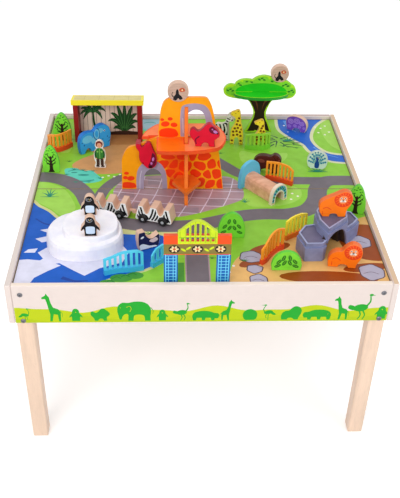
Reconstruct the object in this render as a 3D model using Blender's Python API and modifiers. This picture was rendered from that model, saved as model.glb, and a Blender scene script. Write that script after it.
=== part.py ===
"""A children's play table: a wooden frame, two printed boards, and a loose zoo play set on them."""

import math

import bmesh
import bpy

# All sizes are in millimetres. X runs right, Y back and Z up, from the floor under the middle of the table.
MM = 0.001
GAP = 0.3

# The table
TABLE_W = 800.0
TABLE_D = 780.0
TABLE_H = 457.0
RAIL_H = 98.0
RAIL_T = 12.0
LEG = 34.0
BOARD_DROP = 10.0
BOARD_T = 6.0
LEDGE = 12.0
BAR_W = 40.0
BAR_H = 18.0
BOLT_R = 3.0
BOLT_HEAD_R = 5.5
BOLT_HEAD_H = 2.4
BOLT_L = 32.0
BOLT_CLEARANCE = 0.3
BOLT_Z = (TABLE_H - 22.5, TABLE_H - RAIL_H + 7.0)

BOARD_Z = TABLE_H - BOARD_DROP
BOARD_UNDER = BOARD_Z - BOARD_T
INNER_X = TABLE_W / 2 - RAIL_T
INNER_Y = TABLE_D / 2 - RAIL_T
LEFT, RIGHT, FRONT, REAR = -INNER_X, INNER_X, -INNER_Y, INNER_Y
LEG_X = INNER_X - GAP - LEG / 2
LEG_Y = INNER_Y - GAP - LEG / 2
FLOOR = BOARD_Z + GAP

# The toys
PANEL = 8.0
THICK = 15.0
EDGE = 1.0
FENCE_T = 4.0
FENCE_BASE_T = 9.0
FENCE_BASE_H = 12.0
FENCE_RAIL = 5.0

# The rock
ROCK_X = -29.0
ROCK_LEVEL = 139.0
ROCK_STEP = 39.0
ROCK_FOOT = 80.0
ROCK_TOP = 215.0
WINDOW_LOW = 143.0
HALF_SLOT = PANEL / 2 + GAP

# The discs that sit astride an edge
DISC_R = 23.5
DISC_T = 16.0
GROOVE = PANEL + 2 * GAP

# The acacia
ACACIA = (RIGHT - 212.0, REAR - 73.0)
SHELF_LEVEL = 118.0
TONGUE = 50.0

# The shelter
SHELTER_X = LEFT + 161.0
SHELTER_BACK = REAR - 88.0
SHELTER_FRONT = SHELTER_BACK - 55.0
SHELTER_W = 178.0
SHELTER_WALL = 12.0
ROOF_T = 14.0
ROOF_OVER = 4.0
ROOF_FRONT = 121.0
ROOF_DROP = 13.0

# The train
WAGON_L = 87.0
WAGON_W = 34.0
WHEEL_R = 10.0
WHEEL_T = 6.0
AXLE_R = 1.8
AXLE_X = (-24.0, 23.0)
HITCH = 8.5
HITCH_Z = 13.2
PIN_R = 1.5
RUNNING_FIT = 0.1

# The tunnel
TUNNEL_L = 110.0
PORTAL_W = 51.0
PORTAL_H = 47.0
PORTAL_T = 9.0
BORE_W = 28.0
BORE_H = 29.0

for old in list(bpy.data.objects):
    bpy.data.objects.remove(old, do_unlink=True)

TABLE = bpy.data.collections.new("play_table")
TOOLS = bpy.data.collections.new("tools")
for group in (TABLE, TOOLS):
    bpy.context.scene.collection.children.link(group)


# Shapes

def curve(*points, per=3):
    """Points of a smooth open curve through these."""
    first = tuple(2 * a - b for a, b in zip(points[0], points[1]))
    last = tuple(2 * a - b for a, b in zip(points[-1], points[-2]))
    ends = [first, *points, last]
    out = []
    for i in range(1, len(ends) - 2):
        a, b, c, d = ends[i - 1 : i + 3]
        for k in range(per):
            t = k / per
            out.append(tuple(
                0.5 * (2 * q + (r - p) * t + (2 * p - 5 * q + 4 * r - s) * t * t
                       + (3 * q - p - 3 * r + s) * t ** 3)
                for p, q, r, s in zip(a, b, c, d)
            ))
    out.append(points[-1])
    return out


def loop(*points, per=3):
    """Points of a smooth closed curve through these."""
    wrapped = [points[-1], *points, points[0], points[1]]
    return curve(*wrapped, per=per)[per : per * (len(points) + 1)]


def outline(*pieces):
    """One closed outline from points and curves, without doubled points."""
    out = []
    for piece in pieces:
        for point in piece if isinstance(piece, list) else [piece]:
            if not out or math.dist(point, out[-1]) > 0.05:
                out.append(point)
    if math.dist(out[0], out[-1]) < 0.05:
        out.pop()
    return out


def arc(cx, cy, r, start, end, steps):
    """Points on a circle, angles in degrees."""
    angles = [math.radians(start + (end - start) * k / steps) for k in range(steps + 1)]
    return [(cx + r * math.cos(a), cy + r * math.sin(a)) for a in angles]


def scaled(points, sx, sy):
    """The outline stretched; a negative sx turns the figure to face the other way."""
    out = [(x * sx, y * sy) for x, y in points]
    return out[::-1] if sx * sy < 0 else out


def inset(points, depth):
    """The outline moved in by a depth; the points run counter-clockwise."""
    out = []
    n = len(points)
    for i in range(n):
        (ax, ay), (bx, by), (cx, cy) = points[i - 1], points[i], points[(i + 1) % n]
        ux, uy = bx - ax, by - ay
        vx, vy = cx - bx, cy - by
        lu, lv = math.hypot(ux, uy), math.hypot(vx, vy)
        nx, ny = -uy / lu - vy / lv, ux / lu + vx / lv
        k = depth * 2 / (nx * nx + ny * ny)
        out.append((bx + nx * k, by + ny * k))
    return out


# Objects

def paint(obj, colour, roughness=0.5, metallic=0.0):
    material = bpy.data.materials.new(obj.name)
    material.use_nodes = True
    shader = material.node_tree.nodes["Principled BSDF"]
    shader.inputs["Base Color"].default_value = (*colour, 1.0)
    shader.inputs["Roughness"].default_value = roughness
    shader.inputs["Metallic"].default_value = metallic
    obj.data.materials.append(material)
    return obj


def place(obj, at, yaw=0.0, upright=False, helper=False):
    obj.location = [v * MM for v in at]
    obj.rotation_euler = (math.radians(90) if upright else 0.0, 0.0, math.radians(yaw))
    (TOOLS if helper else TABLE).objects.link(obj)
    if helper:
        obj.hide_render = True
        obj.display_type = "WIRE"
    return obj


def from_bmesh(name, bm):
    for vert in bm.verts:
        vert.co *= MM
    bmesh.ops.recalc_face_normals(bm, faces=bm.faces)
    data = bpy.data.meshes.new(name)
    bm.to_mesh(data)
    bm.free()
    return bpy.data.objects.new(name, data)


def bevel(obj, width, segments=1):
    edge = obj.modifiers.new("edge", "BEVEL")
    edge.width = width * MM
    edge.segments = segments
    edge.limit_method = "ANGLE"
    return obj


def box(name, size, at, yaw=0.0, edge=0.0, helper=False):
    """A block: size in x, y and z, its middle at a point."""
    bm = bmesh.new()
    bmesh.ops.create_cube(bm, size=1.0)
    for vert in bm.verts:
        vert.co = [c * s for c, s in zip(vert.co, size)]
    obj = place(from_bmesh(name, bm), at, yaw, helper=helper)
    return bevel(obj, edge) if edge else obj


def cylinder(name, radius, length, at, rotation=(0.0, 0.0, 0.0), sides=20, helper=False):
    bm = bmesh.new()
    bmesh.ops.create_cone(bm, cap_ends=True, segments=sides, radius1=radius, radius2=radius, depth=length)
    obj = place(from_bmesh(name, bm), at, helper=helper)
    obj.rotation_euler = [math.radians(a) for a in rotation]
    return obj


def prism(name, points, low, high, at, yaw=0.0, upright=False, helper=False):
    """An outline made solid between two levels along its own Z."""
    bm = bmesh.new()
    lower = [bm.verts.new((x, y, low)) for x, y in points]
    upper = [bm.verts.new((x, y, high)) for x, y in points]
    bm.faces.new(lower)
    bm.faces.new(upper)
    for i in range(len(points)):
        j = (i + 1) % len(points)
        bm.faces.new((lower[i], lower[j], upper[j], upper[i]))
    return place(from_bmesh(name, bm), at, yaw, upright, helper)


def sawn(name, loops, thick, at, yaw=0.0, upright=True, edge=0.0):
    """A flat piece sawn to an outline, with holes where further loops are given; edge eases its corners."""
    data = bpy.data.curves.new(name, "CURVE")
    data.dimensions = "2D"
    data.fill_mode = "BOTH"
    data.extrude = (thick / 2 - edge) * MM
    data.bevel_depth = edge * MM
    data.bevel_resolution = 0
    data.offset = -edge * MM
    for points in loops:
        spline = data.splines.new("POLY")
        spline.points.add(len(points) - 1)
        for point, (x, y) in zip(spline.points, points):
            point.co = (x * MM, y * MM, 0.0, 1.0)
        spline.use_cyclic_u = True
    return place(bpy.data.objects.new(name, data), at, yaw, upright)


def as_mesh(obj):
    """The sawn piece as a mesh, so that it can be cut or joined."""
    bpy.context.view_layer.update()
    data = bpy.data.meshes.new_from_object(obj.evaluated_get(bpy.context.evaluated_depsgraph_get()))
    bm = bmesh.new()
    bm.from_mesh(data)
    bmesh.ops.remove_doubles(bm, verts=bm.verts, dist=0.002 * MM)
    bm.to_mesh(data)
    bm.free()
    name, matrix = obj.name, obj.matrix_world.copy()
    bpy.data.objects.remove(obj, do_unlink=True)
    solid = bpy.data.objects.new(name, data)
    solid.matrix_world = matrix
    TABLE.objects.link(solid)
    return solid


def combine(obj, tool, operation="DIFFERENCE"):
    change = obj.modifiers.new(tool.name, "BOOLEAN")
    change.operation = operation
    change.solver = "EXACT"
    change.object = tool
    return obj


def on_board(x, y, level=0.0):
    return (x, y, FLOOR + level)


# The frame

def ledge(name, size, at):
    return box(name, size, at, helper=True)


PINE = (0.86, 0.70, 0.52)
CREAM = (0.88, 0.80, 0.74)
LEDGE_Z = BOARD_UNDER - GAP - LEDGE / 2
RAIL_Z = TABLE_H - RAIL_H / 2
SIDE_LEDGE_L = 2 * (INNER_Y - LEG - 2 * GAP) - 2
END_LEDGE_L = 2 * (INNER_X - LEG - 2 * GAP) - 2

for side, name in ((-1, "rail_left"), (1, "rail_right")):
    rail = box(name, (RAIL_T, TABLE_D, RAIL_H), (side * (TABLE_W - RAIL_T) / 2, 0, RAIL_Z), edge=1.5)
    strip = ledge(f"{name}_ledge", (LEDGE + 2, SIDE_LEDGE_L, LEDGE),
                  (side * (INNER_X - LEDGE / 2 + 1), 0, LEDGE_Z))
    paint(combine(rail, strip, "UNION"), CREAM, 0.42)

for side, name in ((-1, "rail_front"), (1, "rail_back")):
    rail = box(name, (2 * (INNER_X - GAP), RAIL_T, RAIL_H), (0, side * (TABLE_D - RAIL_T) / 2, RAIL_Z),
               edge=1.5)
    strip = ledge(f"{name}_ledge", (END_LEDGE_L, LEDGE + 2, LEDGE),
                  (0, side * (INNER_Y - LEDGE / 2 + 1), LEDGE_Z))
    combine(rail, strip, "UNION")
    paint(rail, CREAM, 0.42)
    if side < 0:
        for place_x in (-LEG_X, LEG_X):
            for level in BOLT_Z:
                hole = cylinder(f"hole_rail_{place_x:.0f}_{level:.0f}", BOLT_R + BOLT_CLEARANCE, RAIL_T + 4,
                                (place_x, -(TABLE_D - RAIL_T) / 2, level), (90, 0, 0), 16, helper=True)
                combine(rail, hole)

LEG_H = BOARD_UNDER - GAP
for sy, end in ((-1, "front"), (1, "back")):
    for sx, side in ((-1, "left"), (1, "right")):
        leg = box(f"leg_{end}_{side}", (LEG, LEG, LEG_H), (sx * LEG_X, sy * LEG_Y, LEG_H / 2), edge=2.0)
        paint(leg, PINE, 0.45)
        if sy < 0:
            for level in BOLT_Z:
                hole = cylinder(f"hole_leg_{sx}_{level:.0f}", BOLT_R + BOLT_CLEARANCE,
                                2 * (BOLT_L - RAIL_T + 1), (sx * LEG_X, sy * (LEG_Y + LEG / 2), level),
                                (90, 0, 0), 16, helper=True)
                combine(leg, hole)


def bolt(name, x, z):
    """A button-head bolt through the front rail, with a hexagon socket."""
    h, r = BOLT_HEAD_H, BOLT_HEAD_R
    profile = [(0, h), (0.45 * r, h), (0.8 * r, 0.75 * h), (r, 0.3 * h), (r, 0), (BOLT_R, 0),
               (BOLT_R, -BOLT_L), (0, -BOLT_L)]
    bm = bmesh.new()
    verts = [bm.verts.new((px, 0, pz)) for px, pz in profile]
    for a, b in zip(verts, verts[1:]):
        bm.edges.new((a, b))
    obj = from_bmesh(name, bm)
    place(obj, (x, -TABLE_D / 2 - GAP, z))
    obj.rotation_euler = (math.radians(90), 0, 0)
    turn = obj.modifiers.new("turn", "SCREW")
    turn.steps = turn.render_steps = 16
    turn.use_merge_vertices = True
    turn.merge_threshold = 0.00001
    obj.data.shade_smooth()
    socket = cylinder(f"{name}_socket", 1.9, 3.2, (x, -TABLE_D / 2 - GAP - h, z), (90, 0, 0), 6, helper=True)
    return combine(obj, socket)


for sx, side in ((-1, "left"), (1, "right")):
    for level, rank in zip(BOLT_Z, ("upper", "lower")):
        paint(bolt(f"bolt_{side}_{rank}", sx * LEG_X, level), (0.78, 0.76, 0.74), 0.3, 1.0)

BOARD_X = INNER_X - GAP
BOARD_D = INNER_Y - 2 * GAP
for side, name in ((-1, "board_front"), (1, "board_back")):
    middle = side * (BOARD_D / 2 + GAP)
    top = box(name, (2 * BOARD_X, BOARD_D, BOARD_T), (0, middle, BOARD_Z - BOARD_T / 2), edge=0.4)
    paint(top, (0.42, 0.66, 0.22), 0.35)

bar = box("crossbar", (2 * (INNER_X - LEDGE - GAP), BAR_W, BAR_H), (0, 0, BOARD_UNDER - GAP - BAR_H / 2),
          edge=1.0)
paint(bar, PINE, 0.5)


# Fences

def along(points):
    """A function from 0..1 to a point on this plan and the direction across it."""
    path = curve(*points, per=8)
    lengths = [0.0]
    for a, b in zip(path, path[1:]):
        lengths.append(lengths[-1] + math.dist(a, b))

    def at(u):
        want = min(max(u, 0.0), 1.0) * lengths[-1]
        i = next(k for k in range(1, len(path)) if lengths[k] >= want - 1e-9)
        (ax, ay), (bx, by) = path[i - 1], path[i]
        t = (want - lengths[i - 1]) / (lengths[i] - lengths[i - 1])
        ahead, behind = path[min(i + 1, len(path) - 1)], path[max(i - 2, 0)]
        dx, dy = ahead[0] - behind[0], ahead[1] - behind[1]
        d = math.hypot(dx, dy)
        return ax + (bx - ax) * t, ay + (by - ay) * t, -dy / d, dx / d

    return at


def fence(name, plan, slats, heights, colour):
    """A bent fence: a wide base bar, slats, and a top rail whose height follows these heights."""
    at = along(plan)
    columns = 2 * slats - 1
    bm = bmesh.new()
    found = {}

    def top(u):
        k = u * (len(heights) - 1)
        i = min(int(k), len(heights) - 2)
        return heights[i] + (heights[i + 1] - heights[i]) * (k - i)

    def vert(i, row, across):
        key = (i, row, across)
        if key not in found:
            x, y, nx, ny = at(i / columns)
            level = (0.0, FENCE_BASE_H, top(i / columns) - FENCE_RAIL, top(i / columns))[row]
            off = across * (FENCE_BASE_T if abs(across) > 0.5 else FENCE_T)
            off = off / 2 if abs(across) > 0.5 else off
            found[key] = bm.verts.new((x + nx * off, y + ny * off, level))
        return found[key]

    wide, thin = 1.0, 0.5

    def filled(i, row):
        return 0 <= i < columns and (row != 1 or i % 2 == 0)

    for i in range(columns):
        j = i + 1
        for side in (-1, 1):
            w, t = side * wide, side * thin
            bm.faces.new((vert(i, 0, w), vert(j, 0, w), vert(j, 1, w), vert(i, 1, w)))
            bm.faces.new((vert(i, 1, w), vert(j, 1, w), vert(j, 1, t), vert(i, 1, t)))
            for row in (1, 2):
                if filled(i, row):
                    bm.faces.new((vert(i, row, t), vert(j, row, t), vert(j, row + 1, t),
                                  vert(i, row + 1, t)))
        bm.faces.new((vert(i, 0, -wide), vert(i, 0, wide), vert(j, 0, wide), vert(j, 0, -wide)))
        bm.faces.new((vert(i, 3, -thin), vert(i, 3, thin), vert(j, 3, thin), vert(j, 3, -thin)))
        if not filled(i, 1):
            for row in (1, 2):
                bm.faces.new((vert(i, row, -thin), vert(i, row, thin), vert(j, row, thin),
                              vert(j, row, -thin)))
        for station, beyond in ((i, i - 1), (j, i + 1)):
            for row in (1, 2):
                if filled(i, row) and not filled(beyond, row):
                    bm.faces.new((vert(station, row, -thin), vert(station, row, thin),
                                  vert(station, row + 1, thin), vert(station, row + 1, -thin)))
    for i in (0, columns):
        bm.faces.new((vert(i, 0, -wide), vert(i, 0, wide), vert(i, 1, wide), vert(i, 1, thin),
                      vert(i, 1, -thin), vert(i, 1, -wide)))
    return paint(place(from_bmesh(name, bm), on_board(0, 0)), colour, 0.4)


BLUE = (0.10, 0.55, 0.80)
ORANGE = (0.87, 0.30, 0.03)
CAVE = (RIGHT - 103.0, FRONT + 154.0)


def beside(place, points):
    """Points measured from a place on the board."""
    return [(place[0] + x, place[1] + y) for x, y in points]


fence("fence_blue_long", beside((0, FRONT), [(-204, 37), (-190, 42), (-173, 47), (-151, 49), (-123, 55)]), 8,
      (39, 41, 43, 47, 51, 52, 52, 51, 44), BLUE)
fence("fence_blue_short", beside((0, FRONT), [(-106, 61), (-94, 72), (-82, 83)]), 3, (30, 42, 44, 45), BLUE)
fence("fence_orange_left", beside((LEFT, REAR), [(7, -173), (16, -185), (32, -192), (50, -180), (65, -161)]),
      8, (40, 46, 48, 49, 49, 49, 49), ORANGE)
fence("fence_orange_middle", [(170, 47), (193, 39), (214, 28), (233, 15)], 8,
      (50, 51, 52, 52, 51, 49, 40), ORANGE)
fence("fence_orange_front", beside(CAVE, [(-161, -84), (-151, -75), (-138, -53), (-123, -35), (-107, -24)]),
      7, (38, 50, 55, 57, 57, 52), ORANGE)
fence("fence_yellow", beside(CAVE, [(-99, 6), (-74, 23), (-49, 37)]), 6, (48, 54, 55, 55, 50),
      (0.80, 0.62, 0.04))
fence("fence_green", beside(ACACIA, [(-44, -100), (-18, -106), (4, -105), (21, -92)]), 7,
      (40, 45, 46, 46, 42), (0.30, 0.62, 0.08))


# Flat and thick figures. Each outline has its feet at height 0 and its middle at x 0.

ELEPHANT = outline(
    curve((-44, 0), (-47, 18), (-46, 36), (-40, 51), (-26, 57), (-12, 56), (-3, 55), (4, 62), (16, 67),
          (31, 65), (43, 53), (47, 34), (44, 15), (42, 0)),
    curve((24, 0), (21, 10), (12, 14), (3, 10), (0, 0)),
    curve((-13, 0), (-17, 9), (-23, 12), (-29, 8), (-32, 0)),
)
KEEPER = outline(
    curve((-14, 0), (-14, 7), (-11, 12), (-14, 22), (-15, 34), (-13, 46), (-8, 53), (-11, 62), (-8, 72),
          (0, 77), (8, 72), (11, 62), (8, 53), (13, 46), (15, 34), (14, 22), (11, 12), (14, 7), (14, 0),
          per=2),
)
TREE = outline(
    curve((-18, 0), (-21, 14), (-20, 34), (-15, 53), (-8, 67), (0, 73), (8, 67), (15, 53), (20, 34),
          (21, 14), (18, 0)),
)
BUSH = outline(curve((-28, 0), (-30, 18), (-26, 40), (-16, 57), (0, 65), (16, 57), (26, 40), (30, 18),
                     (28, 0)))
PENGUIN = outline(
    (-13, 0), curve((-13, 0), (-13, 10), (-14, 17), (-18, 13), (-20.5, 15), (-18, 23), (-12, 31), (-11, 39),
                    (-7, 46), (0, 49), (7, 46), (11, 39), (12, 31), (18, 23), (20.5, 15), (18, 13), (14, 17),
                    (13, 10), (13, 0), per=2),
)
ORCA = outline(
    curve((-21, 0), (-23, 14), (-24, 30), (-23, 44)), (-21, 47), (-9, 47),
    curve((-7, 45), (-5, 37), (1, 29), (10, 26), (19, 31), (24, 34)),
    curve((26, 31), (27, 20), (25, 8), (21, 0)),
)
BABOON = outline(
    curve((-20, 0), (-24, 13), (-33, 26), (-33, 39), (-25, 45), (-16, 38), (-8, 42), (2, 54), (12, 57),
          (22, 50), (31, 40), (34, 30), (29, 22), (23, 16), (24, 0)),
    curve((11, 0), (8, 8), (1, 10), (-5, 7), (-7, 0)),
)
HANGING = outline(
    curve((-16, 30), (-14, 22), (-8, 26), (-2, 34), (6, 33), (10, 24), (14, 12), (19, 0), (21, -14),
          (18, -28), (8, -35), (-2, -34), (-10, -26), (-18, -17), (-21, -4), (-21, 9), (-27, 19), (-28, 30)),
)
ZEBRA = outline(
    curve((-25, 0), (-26, 18), (-25, 36), (-18, 46), (-6, 47), (4, 53), (9, 66), (14, 80), (18, 82),
          (21, 75), (28, 66), (27, 59), (18, 57), (15, 46), (16, 28), (17, 0)),
    curve((6, 0), (3, 18), (-6, 23), (-13, 16), (-14, 0)),
)
GIRAFFE = outline(
    curve((-16, 0), (-16, 22), (-15, 42), (-8, 56), (-4, 72), (-8, 80), (-16, 85), (-16, 92), (-8, 96),
          (0, 100), (6, 98), (9, 86), (11, 66), (15, 48), (18, 28), (18, 0)),
    curve((8, 0), (6, 16), (1, 22), (-4, 16), (-6, 0)),
)
HIPPO = outline(
    curve((-26, 0), (-29, 11), (-31, 25), (-25, 37), (-10, 43), (9, 42), (23, 34), (29, 21), (28, 7),
          (25, 0)),
    curve((13, 0), (10, 6), (2, 9), (-7, 6), (-10, 0)),
)
PEACOCK = outline(
    (-15, 0), curve((-22, 6), (-26, 20), (-24, 34), (-15, 45), (0, 50), (15, 45), (24, 34), (26, 20),
                    (22, 6)), (15, 0),
)
BEAR = outline(
    curve((-32, 0), (-35, 18), (-32, 36), (-20, 47), (-4, 49), (8, 47), (17, 53), (27, 51), (34, 42),
          (35, 32), (28, 25), (27, 12), (27, 0)),
    curve((13, 0), (10, 9), (0, 13), (-12, 9), (-15, 0)),
)
LION = outline(
    curve((-33, 0), (-35, 16), (-31, 31), (-20, 40), (-8, 42), (0, 52), (12, 60), (25, 57), (34, 46),
          (35, 31), (30, 17), (26, 8), (25, 0)),
    curve((9, 0), (5, 6), (-3, 8), (-10, 6), (-13, 0)),
)
LION_TALL = outline(
    curve((-25, 0), (-33, 16), (-33, 38), (-20, 51), (-4, 60), (10, 69), (22, 71), (33, 62), (36, 47),
          (32, 32), (26, 20), (24, 0)),
    curve((8, 0), (5, 7), (-2, 9), (-9, 7), (-11, 0)),
)


def figure(name, points, thick, x, y, yaw, colour, level=0.0, edge=EDGE):
    return paint(sawn(name, [points], thick, on_board(x, y, level), yaw, edge=edge), colour, 0.4)


figure("elephant", ELEPHANT, 14.0, SHELTER_X - 35, SHELTER_FRONT - 36, 36, (0.08, 0.42, 0.85))
figure("keeper", KEEPER, 8.0, -240.5, 106, -3, (0.20, 0.38, 0.12), edge=0.6)
figure("tree_back_left", scaled(TREE, 48 / 42, 80 / 73), 8.0, LEFT + 39, REAR - 128, 0, (0.22, 0.60, 0.10),
       edge=0.6)
figure("tree_front_left", TREE, 8.0, LEFT + 28.5, 83, 0, (0.22, 0.65, 0.10), edge=0.6)
figure("tree_right", scaled(TREE, 1.05, 77 / 73), 8.0, RIGHT - 25, -108, -14, (0.22, 0.65, 0.10), edge=0.6)
figure("bush_gate", BUSH, 8.0, 68, -205, 0, (0.25, 0.75, 0.08), edge=0.6)
figure("bush_front", scaled(BUSH, 64 / 60, 48 / 65), 8.0, CAVE[0] - 110, CAVE[1] - 101, 0,
       (0.25, 0.75, 0.08), edge=0.6)
figure("zebra", ZEBRA, 8.0, ACACIA[0] - 99, ACACIA[1] - 48, -25, (0.80, 0.80, 0.80), edge=0.6)
figure("giraffe_tall", GIRAFFE, 8.0, ACACIA[0] - 66, ACACIA[1] - 75, -8, (0.85, 0.62, 0.08), edge=0.6)
figure("giraffe_small", scaled(GIRAFFE, 1.0, 0.79), 8.0, ACACIA[0] - 5, ACACIA[1] - 88, 6,
       (0.85, 0.68, 0.12), edge=0.6)
figure("hippo", HIPPO, THICK, ACACIA[0] + 108, ACACIA[1] + 6, -28, (0.28, 0.10, 0.55))
figure("peacock", PEACOCK, 9.0, RIGHT - 82, 101, -12, (0.10, 0.35, 0.42), edge=0.6)
figure("bear", BEAR, THICK, 176, 82, -12, (0.16, 0.03, 0.02))
figure("orca", ORCA, THICK, -117, -243, 25, (0.03, 0.03, 0.10))
figure("lion_front", LION, THICK, CAVE[0] + 14, CAVE[1] - 89, -8, (0.95, 0.22, 0.03))

# The iceberg: a rounded mound, and a level top set back towards its right
ICE_LEVEL = 48.0
ICE_MIDDLE = (-252.0, -222.0)
ICE_SHIFT = (13.0, 3.0)
# Each ring: height, its scale along X and Y, and how much of the shift it takes
ICE_RINGS = (
    (0.0, 1.0, 1.0, 0), (14.0, 0.995, 0.995, 0), (26.0, 0.975, 0.975, 0), (32.0, 0.94, 0.94, 0),
    (34.5, 0.88, 0.88, 0), (36.5, 0.735, 0.79, 1), (44.0, 0.72, 0.775, 1), (47.0, 0.71, 0.76, 1),
    (ICE_LEVEL, 0.69, 0.735, 1),
)
ice = loop((-335, -215), (-328, -255), (-306, -286), (-257, -296), (-205, -286), (-173, -256), (-169, -216),
           (-181, -174), (-210, -154), (-250, -147), (-290, -151), (-320, -174))
bm = bmesh.new()
rings = [
    [bm.verts.new((ICE_MIDDLE[0] + ICE_SHIFT[0] * shift + (x - ICE_MIDDLE[0]) * sx,
                   ICE_MIDDLE[1] + ICE_SHIFT[1] * shift + (y - ICE_MIDDLE[1]) * sy, z))
     for x, y in ice]
    for z, sx, sy, shift in ICE_RINGS
]
bm.faces.new(rings[0])
bm.faces.new(rings[-1])
for low, high in zip(rings, rings[1:]):
    for i in range(len(ice)):
        j = (i + 1) % len(ice)
        bm.faces.new((low[i], low[j], high[j], high[i]))
iceberg = place(from_bmesh("iceberg", bm), on_board(0, 0))
iceberg.data.shade_smooth()
paint(iceberg, (0.92, 0.90, 0.92), 0.35)
figure("penguin_back", PENGUIN, 14.0, -241, -183, 0, (0.03, 0.03, 0.03), ICE_LEVEL + GAP)
figure("penguin_front", PENGUIN, 14.0, -234, -264, 2, (0.03, 0.03, 0.03), ICE_LEVEL + GAP)

# The climbing rock: a panel, a cross panel through its window, and a platform slotted over both
ROCK = outline(
    (-182, 0), (-180, 79), curve((-180, 79), (-173, 99), (-162, 112), (-143, 118)), (-92, 140),
    curve((-92, 140), (-93, 156), (-90, 182), (-87, 207), (-80, 228), (-66, 238)),
    curve((1, 239), (17, 237), (25, 224), (31, 208), (37, 180), (43, 140), (48, 102), (56, 50), (62, 0)),
    (-85, 0), curve((-85, 22), (-87, 38), (-94, 50), (-107, 56), (-120, 50), (-127, 38), (-129, 22)),
    (-129, 0),
)
WINDOW = outline(
    (ROCK_X - HALF_SLOT, WINDOW_LOW), (ROCK_X - HALF_SLOT, ROCK_TOP + 1), (ROCK_X + HALF_SLOT, ROCK_TOP + 1),
    curve((ROCK_X + HALF_SLOT, 201), (-14, 208), (-4, 209), (6, 205), (13, 194), (16, 178)),
    (18, WINDOW_LOW),
)
paint(sawn("rock_panel", [ROCK, WINDOW], PANEL, on_board(0, PANEL / 2)), (0.95, 0.36, 0.03), 0.4)

foot = ROCK_FOOT
CROSS = outline(
    (-foot, 0), (-foot + 2, 8), curve((-50, 84), (-26, 146), (-8, 198), (-4, ROCK_TOP - 2)), (-2, ROCK_TOP),
    (2, ROCK_TOP), curve((4, ROCK_TOP - 2), (8, 198), (26, 146), (50, 84)), (foot - 2, 8), (foot, 0),
    (HALF_SLOT, 0), (HALF_SLOT, WINDOW_LOW + GAP), (-HALF_SLOT, WINDOW_LOW + GAP), (-HALF_SLOT, 0),
)
cross = as_mesh(sawn("rock_cross", [CROSS], PANEL, on_board(ROCK_X, PANEL / 2), yaw=90))
STEP = outline((-32, -32), (0, -84), (35, -31), (17, -1), (-18, -1))
step = prism("rock_step", STEP, ROCK_STEP - PANEL, ROCK_STEP, on_board(ROCK_X, 0), helper=True)
paint(combine(cross, step, "UNION"), (0.95, 0.33, 0.03), 0.4)

LEDGE_PLAN = outline(
    (-131, 4), curve((-129, 12), (-124, 28), (-113, 47), (-95, 68), (-70, 72)),
    curve((-18, 71), (20, 71), (41, 66), (56, 40), (64, 2), (58, -26), (44, -50), (12, -63)),
    curve((12, -63), (-20, -68), (-60, -70), (-88, -69), (-95, -67)), (-97, -64), (-97, 4),
)
platform = prism("rock_platform", LEDGE_PLAN, ROCK_LEVEL - PANEL, ROCK_LEVEL, on_board(0, 0))
level_y = foot - foot * ROCK_LEVEL / ROCK_TOP + 8
main_slot = box("platform_slot_long", (162, 2 * HALF_SLOT, PANEL + 4),
                on_board(-34.5, PANEL / 2, ROCK_LEVEL - PANEL / 2),
                helper=True)
cross_slot = box("platform_slot_cross", (2 * HALF_SLOT, 2 * level_y, PANEL + 4),
                 on_board(ROCK_X, PANEL / 2, ROCK_LEVEL - PANEL / 2), helper=True)
combine(platform, main_slot)
combine(platform, cross_slot)
paint(platform, (0.95, 0.22, 0.06), 0.4)

figure("baboon_right", BABOON, 12.0, 12, -40, -4, (0.55, 0.01, 0.05), ROCK_LEVEL + GAP)

hanging = as_mesh(sawn("baboon_left", [HANGING], 9.0, on_board(-118, -4.5 - GAP, 96), edge=EDGE))
hook_bar = box("hook_bar", (10.5, 19, 3.5), on_board(-139.9, 5.5, 124), helper=True)
hook_tab = box("hook_tab", (10.5, 3.4, 15), on_board(-139.9, PANEL + GAP + 3.4, 118.25), helper=True)
combine(hanging, hook_bar, "UNION")
combine(hanging, hook_tab, "UNION")
paint(hanging, (0.55, 0.01, 0.05), 0.4)


def disc(name, x, y, middle, edge_level, yaw=0.0):
    """A round picture block that sits astride the top edge of a panel."""
    ring = arc(0, 0, DISC_R, 0, 360, 32)[:-1]
    block = as_mesh(sawn(name, [ring], DISC_T, on_board(x, y, middle), yaw, edge=EDGE))
    depth = edge_level + GAP - middle
    groove = box(f"{name}_groove", (2 * DISC_R + 4, GROOVE, DISC_R + 4),
                 on_board(x, y, middle + depth - DISC_R / 2 - 2),
                 yaw, helper=True)
    return paint(combine(block, groove), (0.80, 0.66, 0.56), 0.4)


disc("monkey_disc_rock", -48, PANEL / 2, 253, 239)

# The acacia: a panel with a slot, and a half-round shelf with a tongue through it
CANOPY = outline(
    (37, 0), curve((28, 22), (20, 42), (18, 57), (23, 76), (34, 94), (56, 98)),
    curve((74, 98), (87, 103), (94, 116), (89, 132), (77, 141)), curve((78, 141), (66, 149), (52, 152)),
    curve((52, 152), (36, 155), (20, 161), (4, 163), (-12, 159), (-24, 151)),
    curve((-24, 151), (-38, 153), (-54, 151), (-66, 144), (-70, 137)),
    curve((-70, 137), (-80, 139), (-91, 135), (-99, 124), (-97, 112), (-88, 104), (-74, 100)),
    curve((-56, 97), (-34, 94), (-22, 76), (-16, 57), (-18, 42), (-27, 22), (-38, 0)),
)
tongue_half = TONGUE / 2 + GAP
SLOT = [(-tongue_half, SHELF_LEVEL - PANEL - GAP), (tongue_half, SHELF_LEVEL - PANEL - GAP),
        (tongue_half, SHELF_LEVEL + GAP), (-tongue_half, SHELF_LEVEL + GAP)]
paint(sawn("acacia_panel", [CANOPY, SLOT], PANEL, on_board(*ACACIA)), (0.20, 0.62, 0.06), 0.4)
back = -HALF_SLOT
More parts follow.
